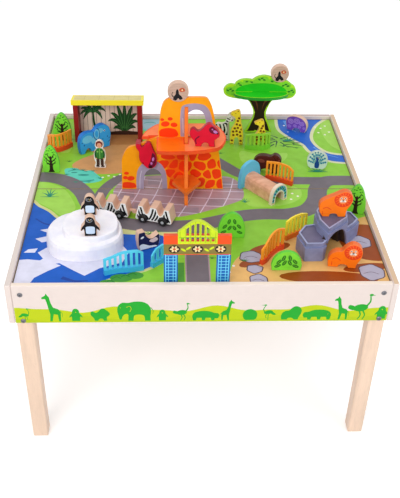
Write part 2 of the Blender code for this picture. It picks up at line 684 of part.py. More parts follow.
SHELF = outline(
    (-TONGUE / 2, back), (-68, back),
    curve((-72, back - 10), (-66, -25), (-48, -36), (-24, -42), (0, -44), (24, -42), (48, -36), (66, -25),
          (72, back - 10)),
    (68, back), (TONGUE / 2, back), (TONGUE / 2, PANEL), (-TONGUE / 2, PANEL),
)
paint(sawn("acacia_shelf", [SHELF], PANEL, on_board(*ACACIA, SHELF_LEVEL - PANEL / 2), upright=False),
      (0.02, 0.40, 0.03), 0.4)
disc("monkey_disc_tree", ACACIA[0] + 47, ACACIA[1], 169, 161)

# The shelter: two side walls, a back wall and a sloping roof, glued up
roof_back = ROOF_FRONT - ROOF_DROP
wall_top = ROOF_FRONT - ROOF_T + 4
ROOF = [(SHELTER_FRONT, ROOF_FRONT - ROOF_T), (SHELTER_FRONT, ROOF_FRONT), (SHELTER_BACK + 6, roof_back),
        (SHELTER_BACK + 6, roof_back - ROOF_T)]
WALL = [(SHELTER_FRONT + 3, 0), (SHELTER_FRONT + 3, wall_top), (SHELTER_BACK, roof_back - 4),
        (SHELTER_BACK, 0)]
roof_w = SHELTER_W + 2 * ROOF_OVER


def across(name, points, width, x, helper=False):
    """An outline in the Y-Z plane made solid across X."""
    return prism(name, [(-y, z) for y, z in points], -width / 2, width / 2, on_board(x, 0), yaw=-90,
                 upright=True, helper=helper)


shelter = across("shelter", ROOF, roof_w, SHELTER_X)
wall_x = (SHELTER_W - SHELTER_WALL) / 2
for side in (-1, 1):
    wall = across(f"shelter_wall_{side}", WALL, SHELTER_WALL, SHELTER_X + side * wall_x, helper=True)
    combine(shelter, wall, "UNION")
rear = box("shelter_rear", (SHELTER_W - SHELTER_WALL, 7, roof_back - 4),
           on_board(SHELTER_X, SHELTER_BACK - 6, (roof_back - 4) / 2), helper=True)
combine(shelter, rear, "UNION")
paint(shelter, (0.42, 0.02, 0.03), 0.45)

# The gate: two pillars, a header and a slatted arch over it, all one sawn panel
GATE_X = -13.5
GATE_Y = FRONT + 11.0
GATE_W = 134.0
PILLAR = 28.0
HEADER_LOW = 72.0
HEADER_TOP = 118.0
ARCH_HALF = 39.0
ARCH_LOW = 101.0
half_w = GATE_W / 2
inner = half_w - PILLAR


def arch_top(x):
    """Height of the arch's upper edge."""
    return 126.0 + 26.0 * math.cos(math.pi * x / (2 * ARCH_HALF)) ** 1.3


GATE = outline(
    (-half_w, 0), (-inner, 0), (-inner, HEADER_LOW), (inner, HEADER_LOW), (inner, 0), (half_w, 0),
    (half_w, HEADER_TOP), (ARCH_HALF, HEADER_TOP),
    [(x, arch_top(x)) for x in (39.0, 33.0, 26.0, 19.0, 12.0, 5.0, -5.0, -12.0, -19.0, -26.0, -33.0, -39.0)],
    (-ARCH_HALF, HEADER_TOP), (-half_w, HEADER_TOP),
)
gate_loops = [GATE]
for k in range(7):
    x = -30.0 + 10.0 * k
    gate_loops.append([(x - 3, ARCH_LOW + 3), (x + 3, ARCH_LOW + 3), (x + 3, ARCH_LOW + 13),
                       (x - 3, ARCH_LOW + 13)])
    if abs(x) < 29:
        low = ARCH_LOW + 17
        gate_loops.append([(x - 3, low), (x + 3, low), (x + 3, arch_top(x + 3) - 6),
                           (x - 3, arch_top(x - 3) - 6)])
paint(sawn("gate", gate_loops, PANEL, on_board(GATE_X, GATE_Y)), (0.90, 0.14, 0.03), 0.4)

# The cave: a low step, a shoulder and a taller rock with a level top, and an arched den
DEN = ((CAVE[0] - 29, CAVE[1] - 71), 43.8)
STEP_PLAN = beside(CAVE, [(-80, -28), (-68, -74), (-29, -73), (1, -38), (-23, 10), (-61, 2)])
SHOULDER = beside(CAVE, [(-31, -73), (53, 8), (66, 26), (55, 58), (19, 70), (-23, 54)])
TALL = beside(CAVE, [(-38, 16), (-36, -22), (-20, -62), (31, -13), (36, 28), (18, 54), (-22, 46)])
TIER = 3.0
CAVE_TOP = 72.0
TRAY = 2.5


def tier(name, plan, height, band, helper=True):
    """A block whose top band is set in a little, and whose top is a shallow tray."""
    low = prism(name, plan, 0, height - band, on_board(0, 0), helper=helper)
    high = prism(f"{name}_band", inset(plan, TIER), height - band - 3, height, on_board(0, 0), helper=True)
    combine(low, high, "UNION")
    tray = prism(f"{name}_tray", inset(plan, TIER + 3.5), height - TRAY, height + 5, on_board(0, 0),
                 helper=True)
    return combine(low, tray)


cave = tier("cave", TALL, CAVE_TOP, 12.0, helper=False)
combine(cave, tier("cave_step", STEP_PLAN, 44.0, 10.0), "UNION")
combine(cave, tier("cave_shoulder", SHOULDER, 42.0, 8.0), "UNION")
MOUTH = outline((8, -2), curve((10, 20), (14, 40), (24, 51), (40, 55), (58, 53), (72, 44), (82, 26),
                               (88, 8)), (90, -2))
HOLLOW = outline((22, -2), curve((22, 20), (26, 37), (36, 46), (48, 49), (62, 46), (72, 36), (78, 20),
                                 (80, 8)), (82, -2))
for end, points, low, high in (("mouth", MOUTH, -18.0, 8.0), ("den", HOLLOW, -40.0, -17.0)):
    combine(cave, prism(f"cave_{end}", points, low, high, on_board(*DEN[0]), yaw=DEN[1], upright=True,
                        helper=True))
paint(cave, (0.22, 0.24, 0.36), 0.5)
figure("lion_top", scaled(LION_TALL, 1.0, 0.88), THICK, *CAVE, -2, (0.95, 0.22, 0.03), CAVE_TOP - TRAY + GAP)

# The tunnel: a block with a bore, and an arched portal at each end
TUNNEL_AT = (157.5, -18.5)
TUNNEL_YAW = 38.0
ARCH = outline((-0.5, 0), curve((-0.5, 0.34), (-0.45, 0.66), (-0.3, 0.9), (0, 1), (0.3, 0.9), (0.45, 0.66),
                                (0.5, 0.34)),
               (0.5, 0))
PORTAL = scaled(ARCH, PORTAL_W, PORTAL_H)
BORE = [(x, z if z > 0 else -2) for x, z in scaled(ARCH, BORE_W, BORE_H)]
BODY = outline((-18.5, 0), (-18.5, 24), curve((-16.5, 31), (-10, 35.5), (0, 37), (10, 35.5), (16.5, 31)),
               (18.5, 24), (18.5, 0))
reach = TUNNEL_L / 2
tunnel = prism("tunnel", BODY, -reach + 2, reach - 2, on_board(*TUNNEL_AT), TUNNEL_YAW, True)
near = prism("tunnel_near", PORTAL, reach - PORTAL_T, reach, on_board(*TUNNEL_AT), TUNNEL_YAW, True,
             helper=True)
far = prism("tunnel_far", scaled(PORTAL, 1.28, 1.38), -reach, PORTAL_T - reach, on_board(*TUNNEL_AT),
            TUNNEL_YAW, True, helper=True)
bore = prism("tunnel_bore", BORE, -reach - 4, reach + 4, on_board(*TUNNEL_AT), TUNNEL_YAW, True, helper=True)
combine(tunnel, near, "UNION")
combine(tunnel, far, "UNION")
combine(tunnel, bore)
paint(tunnel, (0.80, 0.55, 0.36), 0.5)

# The train: two wagons joined by a pin, each on two wheelsets
SIDE = outline(
    (0, 8), (8, 41), (19, 41), curve((23, 28), (26, 23), (29, 23), (33, 29)), (36, 41), (51, 41),
    curve((55, 28), (58, 23), (61, 23), (65, 28)), (69, 41), (81, 41), (87, 8), (84, 4), (3, 4),
)


def wagon(name, at, yaw, start, pin):
    """A wagon; its own x 0 lies start millimetres from its left end, and pin gives it the hitch's pin."""
    body = as_mesh(sawn(name, [[(x - start, z) for x, z in SIDE]], WAGON_W, on_board(*at), yaw, edge=0.8))
    rotation = (90, 0, yaw)
    c, s = math.cos(math.radians(yaw)), math.sin(math.radians(yaw))

    def spot(x, z):
        return on_board(at[0] + x * c, at[1] + x * s, z)

    for k, axle in enumerate(AXLE_X):
        x = WAGON_L / 2 + axle - start
        combine(body, cylinder(f"{name}_bore_{k}", AXLE_R + RUNNING_FIT, WAGON_W + 6, spot(x, WHEEL_R),
                               rotation, 16, helper=True))
        wheelset(f"{name}_wheelset_{'rear' if k == 0 else 'front'}", spot(x, WHEEL_R), yaw)
    if pin:
        end = WAGON_L - start
        combine(body, box(f"{name}_tongue", (HITCH + 9, 8, 3),
                          spot(end + (HITCH - 1) / 2, HITCH_Z + GAP + 1.5), yaw,
                          helper=True), "UNION")
        combine(body, cylinder(f"{name}_pin", PIN_R, 7.5, spot(end + HITCH, HITCH_Z - 1.2), (0, 0, yaw), 16,
                               helper=True), "UNION")
    else:
        EYE = outline(arc(0, 0, 4.5, 90, 270, 10), (HITCH + 4, -4.5), (HITCH + 4, 4.5))
        eye = prism(f"{name}_eye", EYE, HITCH_Z - 3.7, HITCH_Z, spot(0, 0), yaw, helper=True)
        combine(body, eye, "UNION")
        combine(body, cylinder(f"{name}_eye_hole", PIN_R + RUNNING_FIT, 12, spot(0, HITCH_Z), (0, 0, yaw),
                               16, helper=True))
    return paint(body, (0.80, 0.56, 0.40), 0.5)


def wheelset(name, at, yaw):
    """Two wheels turned with their axle."""
    inside = WAGON_W / 2 + 0.6
    outside = inside + WHEEL_T
    r = WHEEL_R
    half_profile = [(0, outside), (3.6, outside), (4.4, outside - 0.8), (7.6, outside - 0.8), (8.4, outside),
                    (9.3, outside), (r, outside - 0.7), (r, inside + 0.6), (9.4, inside), (AXLE_R, inside)]
    profile = half_profile + [(px, -pz) for px, pz in reversed(half_profile)]
    bm = bmesh.new()
    verts = [bm.verts.new((px, 0, pz)) for px, pz in profile]
    for a, b in zip(verts, verts[1:]):
        bm.edges.new((a, b))
    obj = place(from_bmesh(name, bm), at)
    obj.rotation_euler = (math.radians(90), 0, math.radians(yaw))
    turn = obj.modifiers.new("turn", "SCREW")
    turn.steps = turn.render_steps = 20
    turn.use_merge_vertices = True
    turn.merge_threshold = 0.00001
    obj.data.shade_smooth()
    return paint(obj, (0.03, 0.03, 0.03), 0.35)


HITCH_AT = (-149.0, -118.6)
YAW_1 = -13.0
YAW_2 = -18.0
end_1 = (HITCH_AT[0] - HITCH * math.cos(math.radians(YAW_1)),
         HITCH_AT[1] - HITCH * math.sin(math.radians(YAW_1)))
wagon("wagon_1", end_1, YAW_1, WAGON_L, True)
wagon("wagon_2", HITCH_AT, YAW_2, -HITCH, False)
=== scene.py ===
import math
import random

import bpy
import numpy as np
from mathutils import Matrix, Vector
from mathutils.geometry import delaunay_2d_cdt


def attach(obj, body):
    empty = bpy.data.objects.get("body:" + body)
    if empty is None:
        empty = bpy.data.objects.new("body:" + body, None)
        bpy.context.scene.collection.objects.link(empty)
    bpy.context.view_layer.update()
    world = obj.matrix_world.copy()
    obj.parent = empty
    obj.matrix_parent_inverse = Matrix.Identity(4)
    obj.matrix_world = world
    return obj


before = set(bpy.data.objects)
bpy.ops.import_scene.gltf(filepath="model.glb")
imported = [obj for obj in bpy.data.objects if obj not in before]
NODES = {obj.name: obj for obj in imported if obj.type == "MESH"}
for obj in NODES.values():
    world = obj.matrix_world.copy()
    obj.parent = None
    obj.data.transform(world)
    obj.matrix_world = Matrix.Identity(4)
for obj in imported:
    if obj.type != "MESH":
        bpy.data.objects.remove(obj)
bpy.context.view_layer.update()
MM = 0.001
BOARD = 447.0           # top face of the boards, in millimetres as every length below
FLOOR = 447.3           # where the toys stand
INK = 0.07              # lift of a print over its face
ICE = 48.3              # from here on heights over FLOOR: the penguins' ground on the iceberg
PLATFORM = 139          # top of the rock's platform
SHELF = 118             # top of the acacia's shelf
EAVES, ROOF = 107, 121  # underside and top of the shelter's roof at its foot
BAR_FOOT = 12.2         # where a fence's base ends
GATE_LEGS, GATE_ARCH = 72, 118.5
RAIL_EDGE = 456.8       # over the ground: a rail is bare wood from here up
FRONT = -390            # outer face of the front rail
SHELTER_X, SHELTER_BACK, SHELTER_EAVES = -227, 280.5, 235
TUNNEL_X, TUNNEL_Y, TUNNEL_YAW, TUNNEL_LENGTH = 157.5, -18.5, 38, 110
BODY_OF = {
    "acacia_panel": "acacia", "acacia_shelf": "acacia", "rail_front": "table", "rock_panel": "rock",
    "rock_cross": "rock", "rock_platform": "rock"}


# Colours and materials

def srgb(r, g, b):
    """A linear colour from 0..255 screen values."""
    out = []
    for c in (r, g, b):
        c /= 255
        out.append(c / 12.92 if c <= 0.04045 else ((c + 0.055) / 1.055) ** 2.4)
    return out


def shade(rgb, k):
    return [min(c * k, 1.0) for c in rgb]


class Nodes:
    """A short way to build a material's node tree."""

    def __init__(self, name):
        self.mat = bpy.data.materials.new(name)
        self.mat.use_nodes = True
        self.tree = self.mat.node_tree
        self.shader = self.tree.nodes["Principled BSDF"]

    def add(self, kind, **inputs):
        node = self.tree.nodes.new(kind)
        for key, value in inputs.items():
            self.set(node, key, value)
        return node

    def set(self, node, key, value):
        """Sets or links an input, given by its name or as i and its number."""
        numbered = key[0] == "i" and key[1:].isdigit()
        socket = node.inputs[int(key[1:]) if numbered else key.replace("_", " ")]
        if isinstance(value, bpy.types.NodeSocket):
            self.tree.links.new(value, socket)
        elif hasattr(value, "__len__") and len(value) == 3 and socket.type == "RGBA":
            socket.default_value = (*value, 1.0)
        else:
            socket.default_value = value

    def look(self, **inputs):
        """Sets the shader's own inputs."""
        for key, value in inputs.items():
            self.set(self.shader, key, value)

    def place(self, scale):
        """Object coordinates, scaled."""
        coords = self.add("ShaderNodeTexCoord")
        mapping = self.add("ShaderNodeMapping", Scale=scale)
        self.tree.links.new(coords.outputs["Object"], mapping.inputs["Vector"])
        return mapping.outputs["Vector"]

    def noise(self, vector, scale, detail=3.0, rough=0.55):
        node = self.add("ShaderNodeTexNoise", Vector=vector, Scale=scale, Detail=detail, Roughness=rough)
        return node.outputs["Fac"]

    def span(self, value, low, high, out_low=0.0, out_high=1.0):
        node = self.add("ShaderNodeMapRange", Value=value, i1=low, i2=high, i3=out_low, i4=out_high)
        return node.outputs["Result"]

    def mix(self, fac, a, b):
        node = self.add("ShaderNodeMix")
        node.data_type = "RGBA"
        self.set(node, "i0", fac)
        self.set(node, "i6", a)
        self.set(node, "i7", b)
        return node.outputs[2]

    def math(self, kind, a, b):
        node = self.add("ShaderNodeMath")
        node.operation = kind
        self.set(node, "i0", a)
        self.set(node, "i1", b)
        return node.outputs[0]

    def bump(self, height, strength, distance):
        node = self.add("ShaderNodeBump", Height=height, Strength=strength, Distance=distance)
        self.tree.links.new(node.outputs["Normal"], self.shader.inputs["Normal"])

    def beyond(self, direction, limit):
        """1 where a point lies beyond a plane; limit is in millimetres."""
        coords = self.add("ShaderNodeTexCoord")
        dot = self.add("ShaderNodeVectorMath")
        dot.operation = "DOT_PRODUCT"
        self.tree.links.new(coords.outputs["Object"], dot.inputs[0])
        dot.inputs[1].default_value = direction
        return self.math("GREATER_THAN", dot.outputs["Value"], limit * MM)

    def parted(self, colour, parts):
        """The colour, changed beyond planes; parts are (direction, limit, screen colour)."""
        for direction, limit, other in parts:
            colour = self.mix(self.beyond(direction, limit), colour, srgb(*other))
        return colour


def wood(name, rgb, grain, axis=0):
    """Varnished wood: long grain lines with fine pores along one axis, 0 to 2 for X to Z."""
    n = Nodes(name)
    rgb = srgb(*rgb)
    figure = n.noise(n.place([3.5 if k == axis else 34 for k in range(3)]), 55 / 34, 4.0, 0.6)
    pores = n.noise(n.place([40 if k == axis else 420 for k in range(3)]), 1.6, 2.0)
    patch = n.noise(n.place((6, 6, 6)), 1.3, 2.0)
    colour = n.mix(n.span(figure, 0.35, 0.72), shade(rgb, 1.0 + grain * 0.35), shade(rgb, 1.0 - grain * 1.4))
    colour = n.mix(n.span(patch, 0.3, 0.7, 0.0, 0.45), colour, shade(rgb, 1.0 - grain * 0.8))
    colour = n.mix(n.span(pores, 0.56, 0.74, 0.0, grain * 2.2), colour, shade(rgb, 0.62))
    n.look(Base_Color=colour, Roughness=n.span(figure, 0.3, 0.7, 0.37, 0.5), Coat_Weight=0.15,
           Coat_Roughness=0.25)
    n.bump(figure, 0.12, 0.0006)
    return n.mat


def paint(name, rgb, rough, vary, coat=0.2, grain=0.03, parts=()):
    """Print or paint on wood: faint grain telegraphs through, and the colour clouds a little."""
    n = Nodes(name)
    rgb = srgb(*rgb)
    cloud = n.noise(n.place((9, 9, 9)), 4.0, 3.0)
    fine = n.noise(n.place((60, 260, 260)), 1.0, 2.0)
    colour = n.mix(n.span(cloud, 0.35, 0.68), shade(rgb, 1.0 + vary * 0.5), shade(rgb, 1.0 - vary * 1.6))
    colour = n.mix(n.span(fine, 0.5, 0.75, 0.0, grain * 4), colour, shade(rgb, 0.6))
    n.look(Base_Color=n.parted(colour, parts), Roughness=n.span(cloud, 0.3, 0.7, rough - 0.05, rough + 0.07),
           Specular_IOR_Level=0.2, Coat_Weight=coat, Coat_Roughness=0.22)
    n.bump(fine, 0.10, 0.0003)
    return n.mat


def plastic(name, rgb, rough=0.4, vary=0.05, parts=()):
    """Moulded plastic with a fine texture."""
    n = Nodes(name)
    rgb = srgb(*rgb)
    cloud = n.noise(n.place((7, 7, 7)), 3.0, 2.0)
    grain = n.noise(n.place((900, 900, 900)), 1.0, 2.0)
    colour = n.mix(n.span(cloud, 0.35, 0.7), shade(rgb, 1.0 + vary * 0.5), shade(rgb, 1.0 - vary * 1.6))
    n.look(Base_Color=n.parted(colour, parts), Roughness=n.span(grain, 0.3, 0.7, rough - 0.04, rough + 0.06),
           Specular_IOR_Level=0.3, Subsurface_Weight=0.06, Subsurface_Radius=(0.004, 0.003, 0.003))
    n.bump(grain, 0.12, 0.0002)
    return n.mat


def grained(name, light, dark, stretch, scale, detail, shades, rough, bump, parts):
    """A surface with one clear grain; shades and rough are spans, bump is a strength and a distance."""
    n = Nodes(name)
    grain = n.noise(n.place(stretch), scale, detail)
    colour = n.mix(n.span(grain, *shades), srgb(*light), srgb(*dark))
    n.look(Base_Color=n.parted(colour, parts), Roughness=n.span(grain, 0.3, 0.7, *rough))
    n.bump(grain, *bump)
    return n.mat


def dress(nodes, material):
    """Puts a material on the slot of each of these CAD nodes."""
    for node in nodes.split():
        NODES[node].data.materials[0] = material


INKS = {}


def ink(key):
    """The print material of a colour in the palette."""
    if key not in INKS:
        calm = key in ("rail", "hill", "hill_dark", "silhouette")
        vary, grain = (0.012, 0.012) if calm else (0.05, 0.03)
        INKS[key] = paint(f"print_{key}", PALETTE[key], 0.42, vary, 0.06, grain)
    return INKS[key]


# Outlines in millimetres

def curve(*points, per=4):
    """A smooth open line through these points."""
    first = tuple(2 * a - b for a, b in zip(points[0], points[1]))
    last = tuple(2 * a - b for a, b in zip(points[-1], points[-2]))
    ends = [first, *points, last]
    out = []
    for i in range(1, len(ends) - 2):
        a, b, c, d = ends[i - 1: i + 3]
        for k in range(per):
            t = k / per
            out.append(tuple(0.5 * (2 * q + (r - p) * t + (2 * p - 5 * q + 4 * r - s) * t * t
                                    + (3 * q - p - 3 * r + s) * t ** 3) for p, q, r, s in zip(a, b, c, d)))
    out.append(points[-1])
    return out


def blob(*points, per=4):
    """A smooth closed outline through these points."""
    wrapped = [points[-1], *points, points[0], points[1]]
    return curve(*wrapped, per=per)[per: per * (len(points) + 1)]


def oval(cx, cz, rx, rz=None, turn=0.0, steps=20):
    """An oval, or a circle where rz is left out; turn is in degrees."""
    rz = rx if rz is None else rz
    c, s = math.cos(math.radians(turn)), math.sin(math.radians(turn))
    out = []
    for k in range(steps):
        a = 2 * math.pi * k / steps
        u, w = rx * math.cos(a), rz * math.sin(a)
        out.append((cx + u * c - w * s, cz + u * s + w * c))
    return out


def ovals(*rows):
    return [oval(*row) for row in rows]


def pair(x, *rest):
    """Two ovals, one on each side of the middle."""
    return ovals((-x, *rest), (x, *rest))


def around(x, z, rx, rz, turns):
    """Points on an oval round a middle, each with its turn in degrees."""
    for turn in turns:
        a = math.radians(turn)
        yield x + rx * math.cos(a), z + rz * math.sin(a), turn


def band(points, width, per=5):
    """A strip along a smooth line; width is a number, or one for each end."""
    line = curve(*points, per=per)
    w0, w1 = width if hasattr(width, "__len__") else (width, width)
    left, right = [], []
    for i, (x, y) in enumerate(line):
        ax, ay = line[max(i - 1, 0)]
        bx, by = line[min(i + 1, len(line) - 1)]
        d = math.hypot(bx - ax, by - ay) or 1.0
        w = (w0 + (w1 - w0) * i / (len(line) - 1)) / 2
        nx, ny = -(by - ay) / d * w, (bx - ax) / d * w
        left.append((x + nx, y + ny))
        right.append((x - nx, y - ny))
    return left + right[::-1]


def rect(x0, z0, x1, z1):
    return [(x0, z0), (x1, z0), (x1, z1), (x0, z1)]


def area(points):
    """The polygon's area, negative where it runs clockwise."""
    return 0.5 * sum(a[0] * b[1] - b[0] * a[1] for a, b in zip(points, points[1:] + points[:1]))


def grown(points, by):
    """The outline moved out by a distance, or in where it is negative."""
    pts = points if area(points) > 0 else points[::-1]
    out = []
    n = len(pts)
    for i in range(n):
        a, b, c = pts[i - 1], pts[i], pts[(i + 1) % n]
        ux, uy, vx, vy = b[0] - a[0], b[1] - a[1], c[0] - b[0], c[1] - b[1]
        lu, lv = math.hypot(ux, uy) or 1e-6, math.hypot(vx, vy) or 1e-6
        nx, ny = uy / lu + vy / lv, -ux / lu - vx / lv
        k = by * 2 / max(nx * nx + ny * ny, 1.2)
        out.append((b[0] + nx * k, b[1] + ny * k))
    return out


def inside(points, polygon):
    """Which of these points lie in the polygon."""
    x, y = points[:, 0], points[:, 1]
    hit = np.zeros(len(points), bool)
    px, py = np.array(polygon).T
    for i in range(len(px)):
        x0, y0, x1, y1 = px[i - 1], py[i - 1], px[i], py[i]
        crosses = (y0 > y) != (y1 > y)
        with np.errstate(divide="ignore", invalid="ignore"):
            at = (x1 - x0) * (y - y0) / (y1 - y0) + x0
        hit ^= crosses & (x < at)
    return hit


# Prints: one flat sheet per face, cut into its coloured areas

SLIVER = 1e-5    # twice the least area that a triangle may have
IN_PLANE = 0.03  # how far from a plane a corner may lie
SAME = 0.02      # corners nearer than this are one


def printed(name, body, matrix, outer, layers, holes=()):
    """One sheet. outer is its outline, and matrix places it in millimetres. layers are (colour key,
    polygons), bottom first. A third entry clips them: a polygon, or how far out it lies from outer."""
    layers = [(key, polygons, *(grown(outer, c) if isinstance(c, (int, float)) else c for c in clips))
              for key, polygons, *clips in layers]
    loops = [outer, *holes]
    for _, polygons, *clips in layers:
        loops += [*polygons, *clips]
    verts, edges = [], []
    for polygon in loops:
        start = len(verts)
        verts += [Vector(p) for p in polygon]
        edges += [(start + i, start + (i + 1) % len(polygon)) for i in range(len(polygon))]
    points, _, faces, _, _, _ = delaunay_2d_cdt(verts, edges, [], 0, 0.002)
    flat = np.array([(p.x, p.y) for p in points])
    tris = np.array([f for f in faces if len(f) == 3])
    corners = flat[tris]
    middle = corners.mean(axis=1)
    keep = inside(middle, outer)
    for hole in holes:
        keep &= ~inside(middle, hole)
    one, two = corners[:, 1] - corners[:, 0], corners[:, 2] - corners[:, 0]
    keep &= np.abs(one[:, 0] * two[:, 1] - one[:, 1] * two[:, 0]) > SLIVER
    keys = list(dict.fromkeys(layer[0] for layer in layers))
    index = np.zeros(len(tris), int)
    for key, polygons, *clips in layers:
        hit = np.zeros(len(tris), bool)
        for polygon in polygons:
            hit |= inside(middle, polygon)
        for clip in clips:
            hit &= inside(middle, clip)
        index[hit] = keys.index(key)
    used, tris = np.unique(tris[keep], return_inverse=True)
    tris = tris.reshape(-1, 3)
    flat = flat[used]
    if (area(flat[tris[0]].tolist()) > 0) != (matrix.determinant() > 0):
        tris = tris[:, ::-1]
    place = matrix @ Matrix.Translation((0, 0, INK))
    data = bpy.data.meshes.new(name)
    data.from_pydata([tuple(place @ Vector((*p, 0.0)) * MM) for p in flat], [], tris.tolist())
    for key in keys:
        data.materials.append(ink(key))
    data.polygons.foreach_set("material_index", index[keep].tolist())
    data.update()
    obj = bpy.data.objects.new(name, data)
    bpy.context.scene.collection.objects.link(obj)
    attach(obj, body)


def upright(x, y, z, yaw, depth=0.0, back=False):
    """Places a drawing (u right, w up) on a vertical face; depth is how far the face lies in front."""
    c, s = math.cos(math.radians(yaw)), math.sin(math.radians(yaw))
    out = Vector((s, -c, 0)) * (-1 if back else 1)
    right = Vector((c, s, 0))
    matrix = Matrix((right, Vector((0, 0, 1)), out)).transposed().to_4x4()
    matrix.translation = Vector((x, y, z)) + out * depth
    return matrix


def face_loops(node, matrix):
    """The outlines of a node's flat face in the plane of this matrix, largest first."""
    inverse = matrix.inverted()
    mesh = NODES[node].data
    local = [inverse @ (v.co / MM) for v in mesh.vertices]
    flat = [abs(p.z) < IN_PLANE for p in local]
    merged = {}
    key = [merged.setdefault((round(p.x / SAME), round(p.y / SAME)), (p.x, p.y)) for p in local]
    border = {}
    for poly in mesh.polygons:
        if all(flat[i] for i in poly.vertices):
            ring = [key[i] for i in poly.vertices]
            for a, b in zip(ring, ring[1:] + ring[:1]):
                if not border.pop((b, a), False):
                    border[(a, b)] = True
    follow = {}
    for a, b in border:
        follow.setdefault(a, []).append(b)
    loops = []
    while follow:
        start = next(iter(follow))
        ring, at = [start], start
        while True:
            ends = follow[at]
            step = ends.pop()
            if not ends:
                del follow[at]
            if step == start or step not in follow:
                break
            ring.append(step)
            at = step
        if len(ring) > 2:
            loops.append(ring)
    return sorted(loops, key=lambda r: -abs(area(r)))


FIGURES = {}
SIDES = (("front", False), ("back", True))


def sheets(name, node, matrix, draw):
    """Prints each flat face of a node that lies in this plane."""
    loops = face_loops(node, matrix)
    outers = []
    for loop in loops:
        if not any(inside(np.array(loop[:1]), outer)[0] for outer in outers):
            outers.append(loop)
    for k, outer in enumerate(outers):
        holes = [loop for loop in loops if loop is not outer and inside(np.array(loop[:1]), outer)[0]]
        printed(f"{name}_{k + 1}" if k else name, BODY_OF.get(node, node), matrix, outer, draw(outer), holes)
    return outers


def figure(node, x, y, yaw, thick, level, draw):
    """Prints both faces of a sawn figure; draw(outline) gives the layers in the figure's own millimetres."""
    for side, back in SIDES:
        matrix = upright(x, y, FLOOR + level, yaw, thick / 2, back)
        outers = sheets(f"{node}_print_{side}", node, matrix, draw)
        if outers and not back:
            FIGURES[node] = outers[0]


PALETTE = {
    "grass": (140, 201, 56), "grass_light": (160, 212, 84), "grass_dark": (72, 148, 50), "sea": (2, 88, 190),
    "sea_dark": (2, 60, 150), "floe": (218, 218, 238), "shore": (208, 208, 140), "road": (112, 104, 111),
    "plaza": (172, 144, 153), "plaza_line": (214, 202, 220), "plaza_dark": (152, 134, 145),
    "sand": (228, 178, 108), "soil": (150, 68, 16), "soil_dark": (92, 28, 34), "stone": (174, 168, 188),
    "stone_edge": (84, 60, 68), "ochre": (208, 152, 96), "ochre_dark": (190, 132, 78), "teal": (92, 206, 186),
    "teal_dark": (40, 140, 130), "river": (30, 100, 200), "river_light": (92, 152, 224),
    "bank": (216, 218, 172), "pond": (150, 186, 196), "white": (246, 246, 246), "black": (14, 11, 14),
    "leaf": (34, 112, 44), "leaf_dark": (16, 70, 30), "reed": (16, 66, 44), "daisy": (250, 210, 60),
    "silhouette": (24, 164, 40), "hill": (186, 202, 2), "hill_dark": (176, 196, 2), "ele": (52, 172, 250),
    "ele_light": (112, 208, 255), "ele_dark": (18, 86, 172), "hair": (128, 36, 30), "skin": (240, 170, 138),
    "jacket": (58, 128, 52), "jacket_light": (140, 200, 96), "trousers": (70, 48, 42),
    "bright": (126, 222, 60), "bark": (40, 26, 18), "bark_light": (110, 62, 40), "giraffe": (255, 226, 54),
    "spot": (120, 66, 22), "purple": (118, 74, 190), "lilac": (176, 138, 228), "pale": (200, 222, 210),
    "fan": (64, 142, 156), "deep": (24, 66, 140), "bear": (84, 32, 26), "bear_light": (136, 70, 54),
    "navy": (32, 32, 74), "pinkish": (232, 202, 202), "lion": (254, 122, 18), "mane": (232, 66, 28),
    "face": (250, 142, 78), "belly": (206, 224, 244), "grey": (130, 132, 140), "edge": (176, 230, 40),
    "crown": (124, 214, 50), "crown_mid": (34, 196, 30), "crown_dark": (34, 124, 40), "rock": (255, 162, 10),
    "rock_red": (244, 60, 10), "rock_hot": (252, 112, 12), "rim": (166, 154, 178), "gate": (246, 80, 24),
    "ladder": (110, 206, 236), "ladder_dark": (18, 96, 176), "arch": (202, 224, 30),
    "arch_dark": (140, 176, 24), "strip": (132, 116, 52), "motif": (240, 214, 160), "cream": (236, 220, 198),
    "portal": (96, 186, 190), "sky": (92, 186, 222), "stripe": (22, 20, 24), "plank": (238, 218, 202),
    "plank_line": (140, 108, 98), "palm": (20, 74, 36), "palm_light": (70, 140, 70), "shadow": (60, 38, 28),
    "roof": (255, 236, 50), "roof_top": (226, 210, 130), "roof_line": (196, 176, 96),
    "silver": (190, 194, 200), "baboon": (222, 16, 50), "baboon_dark": (108, 10, 46),
    "baboon_face": (196, 120, 190), "wood_red": (200, 84, 50), "tip": (250, 240, 228),
    "salmon": (255, 132, 74), "rail": (226, 212, 206), "disc": (200, 168, 150), "disc_line": (160, 128, 112),
    "board_edge": (86, 78, 52), "tuft": (30, 132, 110), "cave_top": (108, 102, 128),
    "cave_rim": (160, 166, 200)}


# The printed map

def cells(region, spacing, seed, gap):
    """Rounded stones that fill a region: shrunk cells round jittered points."""
    rng = random.Random(seed)
    xs, ys = [p[0] for p in region], [p[1] for p in region]
    seeds = []
    row = 0
    y = min(ys) - spacing
    while y < max(ys) + spacing:
        x = min(xs) - spacing + (row % 2) * spacing / 2
        while x < max(xs) + spacing:
            seeds.append((x + rng.uniform(-0.28, 0.28) * spacing, y + rng.uniform(-0.28, 0.28) * spacing))
            x += spacing
        y += spacing * 0.86
        row += 1
    out = []
    for sx, sy in seeds:
        if not inside(np.array([(sx, sy)]), region)[0]:
            continue
        cell = rect(sx - spacing, sy - spacing, sx + spacing, sy + spacing)
        for ox, oy in seeds:
            nx, ny = ox - sx, oy - sy
            away = math.hypot(nx, ny)
            if 0 < away <= 2.2 * spacing:
                limit = ((ox + sx) / 2 - gap * nx / away) * nx + ((oy + sy) / 2 - gap * ny / away) * ny
                cell = clipped(cell, nx, ny, limit)
                if len(cell) < 3:
                    break
        if len(cell) >= 3:
            out.append(rounded(cell))
    return out


